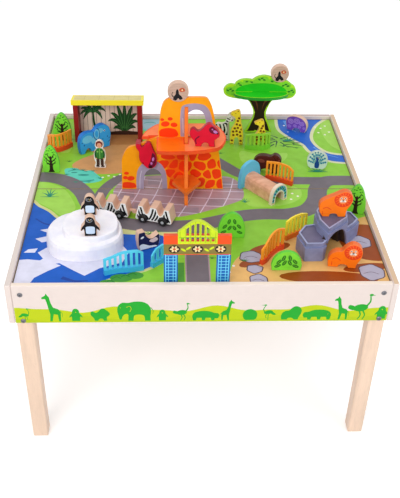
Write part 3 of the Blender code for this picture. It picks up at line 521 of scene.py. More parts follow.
def clipped(polygon, nx, ny, limit):
    """The part of a convex polygon with x nx + y ny below a limit."""
    out = []
    for a, b in zip(polygon, polygon[1:] + polygon[:1]):
        da, db = a[0] * nx + a[1] * ny - limit, b[0] * nx + b[1] * ny - limit
        if da <= 0:
            out.append(a)
        if da * db < 0:
            t = da / (da - db)
            out.append((a[0] + (b[0] - a[0]) * t, a[1] + (b[1] - a[1]) * t))
    return out


def rounded(polygon, k=0.25):
    """The polygon with its corners cut off; k is the share of a side that goes at each end."""
    out = []
    for a, b in zip(polygon, polygon[1:] + polygon[:1]):
        out.append((a[0] + (b[0] - a[0]) * k, a[1] + (b[1] - a[1]) * k))
        out.append((b[0] - (b[0] - a[0]) * k, b[1] - (b[1] - a[1]) * k))
    return out


def tuft(x, y, size, blades=5, tall=0.75):
    """A fan of grass blades; tall is its height for its width."""
    out = []
    for k in range(blades):
        a = math.radians(90 + (k - (blades - 1) / 2) * 30)
        tip = (x + size * math.cos(a), y + tall * size * math.sin(a))
        half = (x + 0.5 * size * math.cos(a), y + 0.6 * tall * size * math.sin(a))
        out.append(band([(x, y), half, tip], (0.17 * size, 0.04 * size), per=2))
    return out


def tufts(*rows):
    return [blade for row in rows for blade in tuft(*row)]


def daisies(spots):
    """The petals and the hearts of small flowers."""
    r = 2.6
    petals, hearts = [], []
    for x, y in spots:
        for u, w, _ in around(x, y, r * 0.75, r * 0.75, (72 * k + x for k in range(5))):
            petals.append(oval(u, w, r * 0.55, steps=6))
        hearts.append(oval(x, y, r * 0.38, steps=6))
    return petals, hearts


def stone(x, y, r, seed):
    """A six-sided stone, a little uneven."""
    rng = random.Random(seed)
    corners = []
    for k in range(6):
        a = math.radians(60 * k + 20)
        corners.append((x + r * rng.uniform(0.85, 1.15) * math.cos(a),
                        y + 0.95 * r * rng.uniform(0.85, 1.15) * math.sin(a)))
    return rounded(corners, 0.13)


SEA = blob(
    (-402, -58), (-372, -80), (-346, -102), (-324, -130), (-296, -150), (-258, -166), (-210, -184),
    (-168, -193), (-120, -197), (-84, -200), (-72, -240), (-84, -290), (-120, -322), (-165, -342),
    (-206, -362), (-226, -396), (-320, -405), (-410, -400), (-412, -220))
FLOES = [
    [(-400, -290), (-368, -286), (-330, -292), (-296, -308), (-322, -328), (-346, -350), (-360, -390),
     (-400, -390)],
    [(-350, -262), (-330, -240), (-250, -220), (-176, -226), (-156, -262), (-168, -298), (-214, -318),
     (-244, -344), (-268, -326), (-300, -300), (-322, -306), (-352, -300), (-336, -284)],
    [(-356, -176), (-322, -166), (-300, -176), (-340, -186)],
    [(-362, -210), (-332, -198), (-318, -214), (-346, -224)],
    [(-372, -250), (-352, -246), (-356, -262), (-380, -262)],
]
ROADS = [
    band([(-410, 58), (-352, 52), (-306, 26), (-274, -16), (-252, -72), (-222, -122), (-160, -152),
          (-90, -162), (-10, -158), (52, -138), (100, -120), (150, -112), (206, -112), (254, -94),
          (282, -52), (294, 0), (318, 34), (356, 40), (410, 38)], 46),
    band([(36, 160), (72, 114), (104, 76), (150, 48), (222, 40), (320, 38), (410, 38)], 36),
    band([(-236, -100), (-234, -40), (-216, 14), (-182, 56), (-132, 78), (-84, 84)], 30),
    [(-36, -165), (16, -165), (16, -400), (-36, -400)],
]
PLAZA = blob(
    (-196, 16), (-172, 48), (-120, 62), (-40, 66), (60, 62), (96, 42), (110, 0), (108, -42), (88, -62),
    (48, -84), (0, -108), (-50, -124), (-100, -120), (-150, -102), (-186, -64), (-202, -22))
PAVING = [band([(-230, 60 - 34 * k), (-40, 30 - 34 * k), (140, 18 - 34 * k)], 2.6) for k in range(-1, 6)]
PAVING += [band([(-230 + 44 * k, -140), (-190 + 44 * k, -30), (-168 + 44 * k, 80)], 2.6) for k in range(8)]
PATCHES = [
    rect(-150, -96, -112, -64), rect(-62, -20, -22, 8), rect(20, -76, 62, -46), rect(-120, 20, -84, 50),
    rect(44, 8, 84, 34), rect(-40, -112, 0, -84), rect(-186, -40, -152, -12)]
SAND = blob(
    (44, -402), (56, -338), (70, -294), (94, -266), (140, -238), (192, -216), (242, -180), (296, -154),
    (346, -142), (404, -128), (416, -260), (410, -402))
SOIL = [
    blob((322, -168), (360, -156), (402, -170), (406, -240), (398, -292), (352, -292), (318, -264),
         (306, -214)),
    oval(150, -248, 48, 17, 18), oval(262, -354, 104, 22, -3), oval(346, -320, 50, 15, 8),
    oval(112, -296, 38, 15, 28),
]
STONES = [stone(x, y, r, seed) for seed, (x, y, r) in enumerate(
    ((106, -280, 25), (110, -323, 16), (114, -360, 20), (350, -226, 29), (354, -338, 28)), 1)]
STUMP = blob((330, -134), (344, -128), (362, -134), (366, -150), (352, -162), (334, -156))
OCHRE = blob(
    (-304, 94), (-312, 120), (-290, 150), (-262, 178), (-300, 214), (-312, 262), (-232, 300), (-150, 262),
    (-138, 226), (-118, 200), (-110, 160), (-126, 106), (-170, 80), (-230, 70), (-276, 78))
BACK_POND = blob((-156, 396), (-150, 350), (-138, 318), (-116, 306), (-100, 318), (-92, 350), (-94, 396))
REEDS = [
    band([(x, y), (x + 0.5 * dx, y + 0.5 * dy + 2), (x + 1.2 * dx, y + 1.2 * dy)], (5.0, 1.4), per=2)
    for x, y, dx, dy in (
        (214, 262, -30, 2), (218, 254, -34, -8), (222, 248, -24, -18), (232, 258, 26, 14), (240, 250, 34, 2),
        (238, 244, 36, -10), (230, 240, 14, -24), (222, 244, -6, -26), (226, 264, -16, 14), (236, 222, 22, 6),
        (246, 214, 20, -4), (206, 236, -26, -12), (212, 228, -18, -22), (262, 232, 24, 8),
        (262, 226, 22, -6))]
POND = blob(
    (-328, 96), (-302, 100), (-284, 86), (-262, 88), (-244, 64), (-232, 44), (-250, 30), (-286, 26),
    (-310, 42), (-324, 68))
RIVER = (
    curve(
        (240, 400), (236, 340), (240, 306), (256, 276), (274, 250), (292, 228), (304, 190), (330, 160),
        (352, 138), (410, 128))
    + curve((410, 168), (372, 170), (340, 186), (318, 226), (314, 272), (332, 330), (362, 372), (396, 400)))
LAWNS = [
    blob(
        (-382, 30), (-352, 24), (-322, 0), (-300, -40), (-286, -90), (-312, -118), (-340, -92), (-372, -64),
        (-400, -50), (-396, 0)),
    blob((112, 18), (160, 26), (220, 18), (250, -4), (244, -44), (206, -72), (150, -82), (112, -66)),
    blob((352, 330), (356, 250), (376, 204), (410, 196), (410, 400), (380, 390)),
    blob((-372, 210), (-330, 180), (-322, 240), (-340, 340), (-376, 330)),
    blob((120, 190), (180, 170), (240, 180), (220, 130), (160, 100), (120, 130))]
BUSH_MARKS = [
    band([(x - 9, y - 3), (x, y + 4), (x + 9, y - 2)], 1.8, per=3) for x, y in (
        (-178, -352), (-160, -346), (-146, -340), (-190, -364), (-66, -318), (-64, -336), (40, -316),
        (38, -338), (34, -230))]
BUSHES = ovals(
    (-168, -352, 24, 14, 0, 12), (-140, -344, 18, 12, 0, 12), (-196, -366, 16, 9, 0, 12),
    (-66, -330, 12, 26, 0, 12), (40, -330, 10, 30, 0, 12), (34, -232, 14, 12, 0, 12))
TUFTS = tufts(
    (-330, 250, 14), (-322, 132, 12), (112, -62, 12), (112, 22, 16), (252, 246, 18, 7), (236, 216, 14),
    (270, 206, 12), (216, 94, 12), (232, 80, 10), (306, 82, 26, 7), (-110, -196, 20, 7), (-96, -186, 14),
    (44, 250, 16), (-20, 250, 14), (90, -296, 14), (22, -286, 12), (-366, 150, 12), (330, -120, 12),
    (66, 176, 12))
TEAL_TUFTS = tufts(
    (-352, -36, 22, 7, 1.7), (-352, -34, 15, 5, 1.9), (-306, 92, 13), (-284, 88, 14), (-258, 84, 12),
    (-322, 66, 12), (-238, 48, 12), (-296, 30, 12), (-264, 30, 10), (252, 248, 26, 7), (306, 84, 24, 7),
    (110, 18, 14, 5, 1.5), (110, -62, 14, 5, 1.4))
DAISIES = [
    (-232, 54), (-218, 62), (-204, 58), (-190, 68), (-176, 64), (-160, 74), (-146, 70), (-132, 80),
    (338, 330), (352, 322), (366, 336), (342, 296), (358, 284), (372, 300), (228, -22), (240, -34),
    (222, -48), (252, 338), (262, 326), (58, -290), (66, -312), (56, -334), (48, -352), (64, 318), (24, 338)]
PETALS, HEARTS = daisies(DAISIES)
MAP = [
    ("grass", [rect(-420, -420, 420, 420)]), ("grass_light", LAWNS),
    ("shore", [grown(SEA, 8), blob((-190, -148), (-100, -156), (-50, -172), (-74, -204), (-180, -200))]),
    # The darker ochre rect under the shelter's roof is painted shade.
    ("sand", [SAND]), ("ochre", [OCHRE]), ("ochre_dark", [rect(-303, 224, -151, 290)]), ("sea", [SEA]),
    ("sea_dark", [band([(-372, -130), (-350, -150), (-330, -156)], (3, 6)),
                  band([(-140, -232), (-118, -238), (-90, -230)], 5),
                  band([(-290, -350), (-262, -362), (-236, -360)], (10, 3))]),
    ("floe", FLOES),
    ("grass_dark", BUSHES + [rect(-58, -400, -38, -300)]), ("leaf", BUSH_MARKS), ("bank", [grown(RIVER, 9)]),
    ("teal", [grown(BACK_POND, 7), POND]), ("pond", [BACK_POND]), ("river", [RIVER]),
    ("river_light", [band([(256, 368), (262, 330), (280, 300)], (9, 2)),
                     band([(316, 214), (336, 178), (372, 156)], (5, 2)), oval(272, 344, 12, 4, -40)]),
    ("teal_dark", [band([(-300, 40), (-276, 36), (-252, 42)], 5), oval(-280, 66, 14, 4),
                   oval(-304, 78, 8, 3), band([(-320, 84), (-296, 92), (-272, 82)], 3),
                   band([(-138, 350), (-120, 356), (-104, 350)], 3)]),
    ("road", ROADS), ("plaza", [PLAZA, rect(-36, -400, -33, -176), rect(13, -400, 16, -176)]),
    ("plaza_dark", PATCHES, PLAZA), ("plaza_line", PAVING, PLAZA), ("soil", SOIL), ("soil_dark", [STUMP]),
    ("stone_edge", [grown(s, 2.4) for s in STONES]), ("stone", STONES),
    ("stone_edge", [band([(x - 0.7 * r, y - 0.1 * r), (x, y + 0.1 * r), (x + 0.6 * r, y - 0.2 * r)], 1.2)
                    for x, y, r in ((106, -280, 22), (114, -360, 18), (350, -226, 26), (354, -338, 25))]),
    ("reed", REEDS), ("leaf", TUFTS), ("tuft", TEAL_TUFTS),
    ("white", PETALS + ovals((266, 330, 3, 1.4), (286, 344, 3, 1.4), (258, 300, 2.6, 1.3))),
    ("daisy", HEARTS),
    # A dark band round the boards' outer edges and along their seam: partly the boards' dark edges, partly
    # painted shade in the gap under the rails.
    ("board_edge", [rect(385.4, -400, 400, 400), rect(-400, -400, -385.4, 400), rect(-400, 375.4, 400, 400),
                    rect(-400, -1.4, 400, 1.4)])]
for name, y0, y1 in (("map_front", -377.2, -0.5), ("map_back", 0.5, 377.2)):
    printed(name, "table", Matrix.Translation((0, 0, BOARD)), rect(-387.2, y0, 387.2, y1), MAP)


# Figures

# Each function takes an outline and gives the layers of its print

def extent(o):
    xs, zs = [p[0] for p in o], [p[1] for p in o]
    return min(xs), max(xs), min(zs), max(zs)


def spread(o):
    """The outline's width, after a function that places shares of its width and height."""
    x0, x1, z0, z1 = extent(o)
    w, h = x1 - x0, z1 - z0
    mid = (x0 + x1) / 2
    return lambda u, v: (mid + u * w, z0 + v * h), w


def elephant(o):
    return [
        ("ele", [o]), ("ele_light", ovals((-24, 38, 15, 11), (14, 52, 10, 7), (-6, 30, 7, 9))),
        ("ele_dark", [blob((-5, 55), (4, 62), (12, 56), (13, 40), (8, 28), (-1, 32), (-6, 44))]),
        ("ele_light", [blob((-3, 54), (4, 59.5), (10.4, 54.6), (11.4, 40), (7, 30.4), (0.4, 33.6),
                            (-4.2, 44))]),
        ("ele", [blob((0, 52), (4, 55), (8, 51), (8.6, 41), (6, 36), (2, 38), (-0.6, 45))]),
        ("ele_dark", [*ovals((-34, 24, 2.2), (-40, 32, 1.6), (36, 30, 1.8), (22, 26, 1.6)),
                      band([(44, 18), (40, 15), (36, 15)], 1.4), band([(45, 26), (41, 24), (38, 24)], 1.2)]),
        ("white", [oval(28, 49, 2.4)]), ("black", [oval(28.4, 48.8, 1.4)])]


def keeper(o):
    return [
        ("white", [o]), ("hair", [oval(0, 65.5, 9, 9.5)]), ("skin", [oval(0, 62.5, 6, 7)]),
        ("black", pair(2.2, 63.6, 0.6, 0.8) + pair(6, 4.5, 5, 2.6)),
        ("wood_red", [band([(-1.8, 59.6), (0, 59.1), (1.8, 59.6)], 0.6)]),
        ("jacket", [blob((-11, 26), (-13, 40), (-10, 51), (-4, 55), (4, 55), (10, 51), (13, 40), (11, 26),
                         (0, 24))]),
        ("jacket_light", [band([(0, 26), (0, 54)], 1.4), *pair(5, 45, 2.4, 2)]),
        ("leaf_dark", [band([(-9.5, 48), (-11, 38), (-9, 28)], 3), band([(9.5, 48), (11, 38), (9, 28)], 3)]),
        ("trousers", [rect(-9, 7, -1, 26), rect(1, 7, 9, 26)]), ("skin", pair(9.5, 26, 2))]


def tree(o):
    at, w = spread(o)
    trunk = [[at(-0.2, 0), at(0.2, 0), at(0.11, 0.1), at(0.09, 0.28), at(0.05, 0.62), at(-0.05, 0.62),
              at(-0.09, 0.28), at(-0.11, 0.1)]]
    for side in (-1, 1):
        for v, u, up in ((0.26, 0.3, 0.42), (0.38, 0.34, 0.58), (0.5, 0.22, 0.72)):
            points = [at(0, v), at(side * u * 0.6, v + (up - v) * 0.5), at(side * u, up)]
            trunk.append(band(points, (0.09 * w, 0.03 * w)))
    rng = random.Random(7)
    dots = []
    for k in range(26):
        a, r = k * 2.4, 0.16 + 0.22 * math.sqrt(k / 26)
        spot = at(r * math.cos(a), 0.58 + r * 0.95 * math.sin(a))
        dots.append(oval(*spot, 0.055 * w, 0.032 * w, rng.uniform(0, 180), 8))
    return [("bright", [o]), ("crown_dark", dots, -2), ("bark", trunk, o)]


def bush(o):
    at, w = spread(o)
    leaves, ribs = [], []
    for u, v, turn in (
        (-0.26, 0.46, 50), (-0.11, 0.66, 75), (0.1, 0.66, 105), (0.27, 0.46, 130), (-0.08, 0.4, 60),
        (0.1, 0.4, 120), (-0.3, 0.24, 25), (0.3, 0.22, 155)):
        x, z = at(u, v)
        leaves.append(oval(x, z, 0.12 * w, 0.06 * w, turn, 10))
        dx, dz = 0.08 * w * math.cos(math.radians(turn)), 0.08 * w * math.sin(math.radians(turn))
        ribs.append(band([(x - dx, z - dz), (x + dx, z + dz)], 0.5))
    return [("bright", [o]), ("crown_dark", leaves, -3), ("edge", ribs, -3)]


def zebra(o):
    stripes = [band([(x, 16), (x + 3, 32), (x - 3, 52)], (6.6, 3.6)) for x in (-20, -9, 2, 12)]
    stripes += [band([(1 + k, 51 + 8.5 * k), (20, 46 + 8.5 * k)], (5.2, 2.8)) for k in range(3)]
    stripes += [band([(x, z), (x + 9, z + 1)], 2.4) for x in (-27, 6) for z in (4, 10, 16)]
    return [("white", [o]), ("stripe", stripes, -1.4),
            ("black", [band([(0, 50), (6, 65), (13, 81)], (5, 7)), oval(26.5, 61.5, 3.6, 4),
                       oval(19, 69, 1.4), rect(-28, -1, -12, 3), rect(5, -1, 20, 3)], -0.8)]


def giraffe(o):
    _, _, foot, top = extent(o)
    k = (top - foot) / 100
    spots = [(-8, 28), (2, 30), (11, 27), (-9, 38), (0, 40), (9, 38), (13, 46), (3, 50), (-5, 48), (0, 60),
             (8, 58), (2, 70), (-11, 12), (12, 12), (5, 78)]
    drawn = [
        rounded([(x - 3.4, z * k - 3), (x + 3, z * k - 3.4), (x + 3.6, z * k + 2.4), (x - 2.4, z * k + 3.4)])
        for x, z in spots]
    return [("giraffe", [o]), ("spot", drawn + [rect(-18, 0, -4, 4), rect(6, 0, 20, 4)], -1.2),
            ("black", ovals((-4, 91 * k, 1.1), (-13, 88 * k, 0.8))),
            ("spot", ovals((2, 98 * k, 1.6), (9, 84 * k, 2.2, 4)), -0.6)]


def hippo(o):
    layers = [("purple", [o])]
    spots = [(-17, 26, 8), (0, 30, 8.5), (15, 25, 7), (-4, 15, 5), (-20, 11, 5), (9, 14, 4.5), (22, 13, 4)]
    for key, k in (("lilac", 1.0), ("purple", 0.76), ("lilac", 0.52), ("purple", 0.28)):
        layers.append((key, [oval(x, z, r * k, r * k * 0.9, steps=14) for x, z, r in spots], -1.4))
    layers.append(("black", ovals((24, 31, 1.3), (27, 22, 1))))
    return layers


def peacock(o):
    eyes = []
    for r, n in ((34, 9), (26, 8), (18, 6)):
        turns = (12 + 156 * k / (n - 1) for k in range(n))
        eyes += [(x, z) for x, z, _ in around(0, 14, r * 0.62, r, turns)]
    plumes = [band([(0, 12), (0.6 * x, 12 + 0.55 * (z - 12)), (x, z)], (0.8, 1.5)) for x, z in eyes]
    return [("pale", [o]), ("fan", plumes + [oval(x, z, 2.9, steps=10) for x, z in eyes], -2),
            ("sky", [oval(x, z, 1.9, steps=10) for x, z in eyes], -3),
            ("deep", [oval(x, z, 1.4, steps=8) for x, z in eyes] +
             [blob((-5, 4), (-6, 14), (-3, 22), (-3, 31), (0, 35), (3, 31), (3, 22), (6, 14), (5, 4),
                   (0, 2))]),
            ("daisy", [[(2.4, 32), (6, 31), (2.4, 30)]]), ("white", [oval(0.8, 32.4, 0.7)])]


def bear(o):
    return [
        ("bear", [o]), ("bear_light", ovals((31, 36, 4, 4.6), (-14, 34, 9, 5, -10), (12, 32, 6, 4)), -1),
        ("black", [oval(33.4, 37, 1.7), oval(25, 44, 1.2), band([(21, 30), (20, 42), (14, 49)], 1.0)], o)]


def orca(o):
    return [
        ("navy", [o]),
        ("white", [blob((-22, 2), (-20, 14), (-12, 16), (2, 8), (14, 6), (20, 2), (10, -1)),
                   oval(-14, 33, 4.2, 2.4, 25)], -0.8),
        ("pinkish", [blob((2, 20), (10, 25), (19, 25), (22, 18), (12, 14))], -1.2),
        ("black", [oval(-19.5, 27, 1)])]


def lion_of(cx, cz, r):
    """A lion whose head has its middle here; r is the reach of the mane."""
    def at(u, v):
        return cx + u * r, cz + v * r

    def eyes(size):
        return [oval(*at(u, 0.14), size * r) for u in (-0.22, 0.22)]

    def draw(o):
        mane = [oval(x, z, r * 0.84) for x, z, _ in around(cx, cz, r * 0.2, r * 0.2, range(0, 360, 45))]
        locks = [band([at(0.62 * math.cos(a), 0.62 * math.sin(a)),
                       at(0.92 * math.cos(a + 0.12), 0.92 * math.sin(a + 0.12))], (1.6, 0.6))
                 for a in (math.radians(24 * k) for k in range(15))]
        return [
            ("lion", [o]), ("mane", mane, -0.8), ("lion", locks, -1.2),
            ("face", [oval(*at(0, -0.04), r * 0.54, r * 0.56)], -1),
            ("tip", [oval(*at(u, -0.24), 0.2 * r, 0.15 * r) for u in (-0.15, 0.15)] + eyes(0.12)),
            ("black", eyes(0.07)),
            ("bear", [blob(at(-0.14, -0.04), at(0.14, -0.04), at(0, -0.2)),
                      band([at(-0.18, -0.34), at(0, -0.28), at(0.18, -0.34)], 0.06 * r)]),
            ("mane", [band([(-26, 4), (-26, 14)], 1.4), band([(-8, 18), (-18, 24), (-26, 20)], 1.6)], -1)]
    return draw


def penguin(o):
    return [
        ("black", [o]),
        ("belly", [blob((-8.4, 7), (-9.4, 15), (-8.6, 23), (0, 24.6), (8.6, 23), (9.4, 15), (8.4, 7),
                        (0, 5.8))], -1.2),
        ("grey", [band([(-6.6, 43), (-6.2, 38), (-2, 35), (3, 36.2), (5.8, 40)], (2.6, 1.4))], -1),
        ("white", ovals((-2.4, 41, 0.9), (2.6, 41.2, 0.9))),
        ("daisy", [[(-1, 39.6), (1.4, 39.6), (0.2, 37.4)]], -0.5)]


def baboon(o):
    return [
        ("baboon", [o]),
        ("baboon_dark", [oval(20, 42, 11, 9, -25), band([(-12, 26), (-20, 18), (-19, 6)], 3)], -1),
        ("baboon_face", ovals((24, 38, 5.4, 3.4, -30), (17, 44, 1.8)), -1),
        ("black", ovals((29, 34, 2.6, 2), (20, 45, 1), (27, 41, 0.9)), -0.6)]


def hanging(o):
    return [
        ("baboon", [o]),
        ("baboon_dark", [blob((10, 6), (16, 2), (20, -12), (17, -28), (8, -34), (0, -30), (6, -14))], -0.8),
        ("baboon_face", ovals((12, -10, 2.6, 5.4, -12), (8, -21, 2.6, 3.4))),
        ("black", ovals((6, -31, 4.6, 3.4), (15, -18, 1.2), (-12, -20, 2.2, 1.4)), -0.5)]


def monkey_disc(o):
    body = [blob((-11, -19), (-10, -11), (-6, -5), (-5, 3), (-2, 8), (1, 3), (2, -4), (7, -9), (10, -15),
                 (4, -18), (0, -14), (-4, -19)), band([(-9, -13), (-14, -6), (-12, 1)], (2.2, 1.2))]
    rings = [band([(-20, z), (0, z + 1.5), (20, z)], 0.5) for z in (-15, -9, -2, 5, 12, 17)]
    return [("disc", [o]), ("disc_line", rings, -1), ("stripe", body, -1.6),
            ("wood_red", [blob((2, 7), (8, 11), (14, 9), (15, 3), (9, 1), (4, 2))]),
            ("motif", [oval(9, 5.6, 2, 2.4)]), ("black", ovals((7, 7.4, 0.8), (11.4, 7.2, 0.8)))]


def trunk_and_crown(o):
    trunk = [
        (-33, -1), (-25, 14), (-20, 28), (-14, 44), (-12, 58), (-18, 74), (-31, 90), (-46, 97), (-22, 101),
        (0, 92), (20, 101), (42, 97), (29, 88), (18, 74), (13, 58), (15, 42), (24, 22), (32, -1), (18, 6),
        (6, -1), (-8, 5), (-18, -1)]
    gaps = [[(-26, 94), (-12, 88), (-8, 74), (-4, 62), (-7, 84), (-14, 97)],
            [(24, 94), (13, 86), (8, 72), (5, 62), (9, 84), (14, 97)]]
    rng = random.Random(3)
    spots = [
        oval(x + u, z + v, 4.2, 2.4, rng.uniform(-35, 35), 8)
        for x, z in ((-62, 137), (-33, 146), (0, 152), (34, 147), (64, 135), (-82, 121), (81, 118))
        for u, v in ((-6, 0), (1, 3.5), (7, -1))]
    lobes = ovals(
        (-60, 138, 15, 9), (-32, 147, 17, 10), (0, 153, 19, 9), (34, 148, 17, 9), (64, 136, 15, 10),
        (-82, 120, 12, 12), (82, 118, 10, 12))
    return [("edge", [o]),
            ("crown", [blob((-90, 120), (-82, 130), (-66, 134), (-48, 144), (-22, 143), (0, 154), (24, 151),
                            (48, 143), (72, 133), (85, 123), (82, 111), (60, 105), (0, 102), (-60, 105),
                            (-82, 109))] + lobes, -2.4),
            ("crown_mid", [blob((-68, 112), (-62, 128), (-38, 138), (0, 142), (40, 138), (64, 126),
                                (68, 112), (40, 104), (-44, 104))], -3),
            ("crown_dark", spots, -5), ("bark", [trunk], -2.2),
            ("bark_light", gaps, -2.6)]


def rock_face(o):
    door = [(-147, -1), *curve((-147, 28), (-143, 52), (-133, 68), (-122, 76), (-110, 79), (-98, 75),
                               (-87, 67), (-78, 50), (-74, 28)), (-73, -1)]
    window = [(-42, 141), *curve((-43, 188), (-41, 212), (-35, 220), (-20, 224), (-4, 224), (12, 220),
                                 (22, 209), (28, 194), (33, 170)), (36, 141)]
    wall = cells([(-72, -4), (-66, 30), (-74, 60), (-84, 96), (-66, 134), (-40, 128), (-20, 134), (14, 124),
                  (36, 112), (60, 70), (68, -4)], 29, 11, 1.7)
    foot = [blob((-180, 3), (-181, 14), (-174, 19), (-160, 18), (-150, 14), (-150, 3)),
            oval(-160, 29, 9, 6.5, 10), oval(-173, 31, 6, 5), oval(-170, 43, 6, 4.5)]
    upper = [
        blob((-90, 141), (-93, 150), (-86, 160), (-68, 163), (-52, 158), (-50, 141)),
        oval(-77, 173, 10, 7, 8), oval(-57, 171, 8, 6, -8), oval(-66, 186, 6, 4.5), oval(-84, 184, 4.5, 3.5)]
    # A deeper orange on the panel below the platform: painted shade under it.
    under_platform_shade = [[(-72, -4), (-66, 30), (-74, 60), (-80, 90), (-60, 118), (-30, 124), (-30, -4)]]
    return [
        ("rock", [o]), ("rock_hot", under_platform_shade), ("rock_red", wall + foot + upper, -1.5), ("rim", [door, window]),
        ("plaza_line", [band([(-139, 0), (-138, 30), (-134, 50)], 1.6), band([(-36, 150), (-37, 188)], 1.4)])]


def gate_face(o):
    grid = []
    for x0 in (-67, 39):
        grid += [rect(x0 + 2.5, 0, x0 + 4.5, 72), rect(x0 + 23.5, 0, x0 + 25.5, 72),
                 rect(x0 + 8.5, 4, x0 + 10, 68), rect(x0 + 18, 4, x0 + 19.5, 68)]
        grid += [rect(x0 + 2.5, 2 + 7.4 * k, x0 + 25.5, 3.6 + 7.4 * k) for k in range(10)]
    rosettes, petals, hearts = [], [], []
    for x in (-46, 0, 46):
        rosettes.append(oval(x, 85.5, 11.5, 9.5))
        petals += [
            oval(u, w, 3.4, 2.2, turn, 10) for u, w, turn in around(x, 85.5, 5.6, 4.6, range(0, 360, 60))]
        hearts.append(oval(x, 85.5, 2.6))
    leaves = [
        oval(x + side * 5, 85.5 + side * 2, 6, 2.4, 35 * side, 10) for x in (-23, 23) for side in (-1, 1)]
    arch = [(-39, 98), (39, 98), (39, 130), (26, 146), (0, 154), (-26, 146), (-39, 130)]
    bars = [rect(-37, 112.6, 37, 114)] + [rect(-35.4 + 10 * k, 101, -34.4 + 10 * k, 150) for k in range(8)]
    return [("gate", [o]), ("ladder_dark", [rect(-67, -1, -39, 72), rect(39, -1, 67, 72)]), ("ladder", grid),
            ("strip", [rect(-67, 73.5, 67, 97.5)]), ("bark", rosettes), ("motif", petals),
            ("wood_red", hearts), ("arch", leaves), ("arch", [arch]), ("arch_dark", bars, -1.5)]


def portal_face(o):
    arc = [
        oval(x, z, 4, 2.2, turn, 10)
        for x, z, turn in around(0, 6, 20, 33, (8 + 16.4 * k for k in range(11)))]
    rim = [oval(x, z, 1.3) for x, z, _ in around(0, 5, 16, 27.5, (8 + 12.6 * k for k in range(14)))]
    return [("cream", [o]), ("portal", [grown(o, -2.6)]), ("deep", arc[::2]), ("leaf", arc[1::2]),
            ("tip", rim), ("sand", [rect(-30, -1, 30, 5)], -2.6)]


def back_portal(o):
    arc = [oval(x, z, 3.6, 2.4, turn, 8) for x, z, turn in around(0, 10, 26, 43, range(15, 180, 15))]
    return [("sky", [o]), ("bright", arc)]


def wagon_side(o):
    inner = grown(o, -2.6)
    x0 = extent(o)[0]
    stripes = []
    for k in range(13):
        x = x0 - 2 + 7.4 * k
        lean = 9 if 4 < k < 9 else -9
        stripes.append(band([(x - lean, 0), (x + lean * 0.25, 18), (x + lean, 44)], (3.4, 4.6)))
    guards = [oval(x0 + 43.5 + a, 10, 12.5, 11.0, steps=16) for a in (-24.0, 23.0)]
    return [("white", [grown(o, -1.2)]), ("stripe", stripes, inner), ("stripe", guards, inner)]


for row in (
    ("elephant", -262, 199, 36, 14, 0, elephant), ("keeper", -240.5, 106, -3, 8, 0, keeper),
    ("tree_back_left", -349, 250, 0, 8, 0, tree), ("tree_front_left", -359.5, 83, 0, 8, 0, tree),
    ("tree_right", 363, -108, -14, 8, 0, tree), ("bush_gate", 68, -205, 0, 8, 0, bush),
    ("bush_front", 175, -325, 0, 8, 0, bush), ("zebra", 77, 257, -25, 8, 0, zebra),
    ("giraffe_tall", 110, 230, -8, 8, 0, giraffe), ("giraffe_small", 171, 217, 6, 8, 0, giraffe),
    ("hippo", 284, 311, -28, 15, 0, hippo), ("peacock", 306, 101, -12, 9, 0, peacock),
    ("bear", 176, 82, -12, 15, 0, bear), ("orca", -117, -243, 25, 15, 0, orca),
    ("lion_front", 299, -313, -8, 15, 0, lion_of(16, 40.5, 18.5)),
    ("lion_top", 285, -224, -2, 15, 69.8, lion_of(15, 44, 18.5)),
    ("penguin_back", -241, -183, 0, 14, ICE, penguin), ("penguin_front", -234, -264, 2, 14, ICE, penguin),
    ("baboon_right", 12, -40, -4, 12, 139.3, baboon), ("baboon_left", -118, -4.8, 0, 9, 96, hanging),
    ("monkey_disc_rock", -48, 4, 0, 16, 253, monkey_disc),
    ("monkey_disc_tree", 223, 305, 0, 16, 169, monkey_disc),
    ("acacia_panel", 176, 305, 0, 8, 0, trunk_and_crown), ("rock_panel", 0, 4, 0, 8, 0, rock_face),
    ("gate", -13.5, -367, 0, 8, 0, gate_face), ("wagon_1", -157.28, -116.69, -13, 34, 0, wagon_side),
    ("wagon_2", -149.0, -118.6, -18, 34, 0, wagon_side)):
    figure(*row)


def cross_face(o):
    wall = cells([(-78, 2), (-50, 84), (-34, 126), (34, 126), (50, 84), (78, 2)], 25, 5, 1.8)
    return [("rock", [o]), ("rock_red", wall, -1.5)]


def platform_top(o):
    # The deeper orange on the platform's front left part is painted shade.
    return [("rock_red", [o]), ("salmon", [grown(o, -2)]),
            ("rock_hot", [[(-97, -70), (-33, -70), (-33, -4), (-97, -4)]], -2)]


def shelf_top(o):
    return [("edge", [o]), ("crown_mid", [grown(o, -2)])]


def tunnel_face(o):
    """The small front portal or the tall rear one, told by the width."""
    x0, x1, _, _ = extent(o)
    return portal_face(o) if x1 - x0 < 54 else back_portal(o)


def at_height(z):
    """Places a drawing on a level face, z over FLOOR."""
    return Matrix.Translation((0, 0, FLOOR + z))


figure("rock_cross", -29, 4, 90, 8, 0, cross_face)
sheets("platform_print", "rock_platform", at_height(PLATFORM), platform_top)
sheets("shelf_print", "acacia_shelf", at_height(SHELF), shelf_top)
figure("tunnel", TUNNEL_X, TUNNEL_Y, TUNNEL_YAW, TUNNEL_LENGTH, 0, tunnel_face)


# The shelter: a printed roof and a planked rear wall with two plants

def arch(foot, tip, sag, t):
    """A point on the arched line from foot to tip, and the line's direction there."""
    top = ((foot[0] + tip[0]) / 2, (foot[1] + tip[1]) / 2 + 2 * sag)
    point = [(1 - t) ** 2 * a + 2 * t * (1 - t) * b + t * t * c for a, b, c in zip(foot, top, tip)]
    way = [2 * (1 - t) * (b - a) + 2 * t * (c - b) for a, b, c in zip(foot, top, tip)]
    return point, way


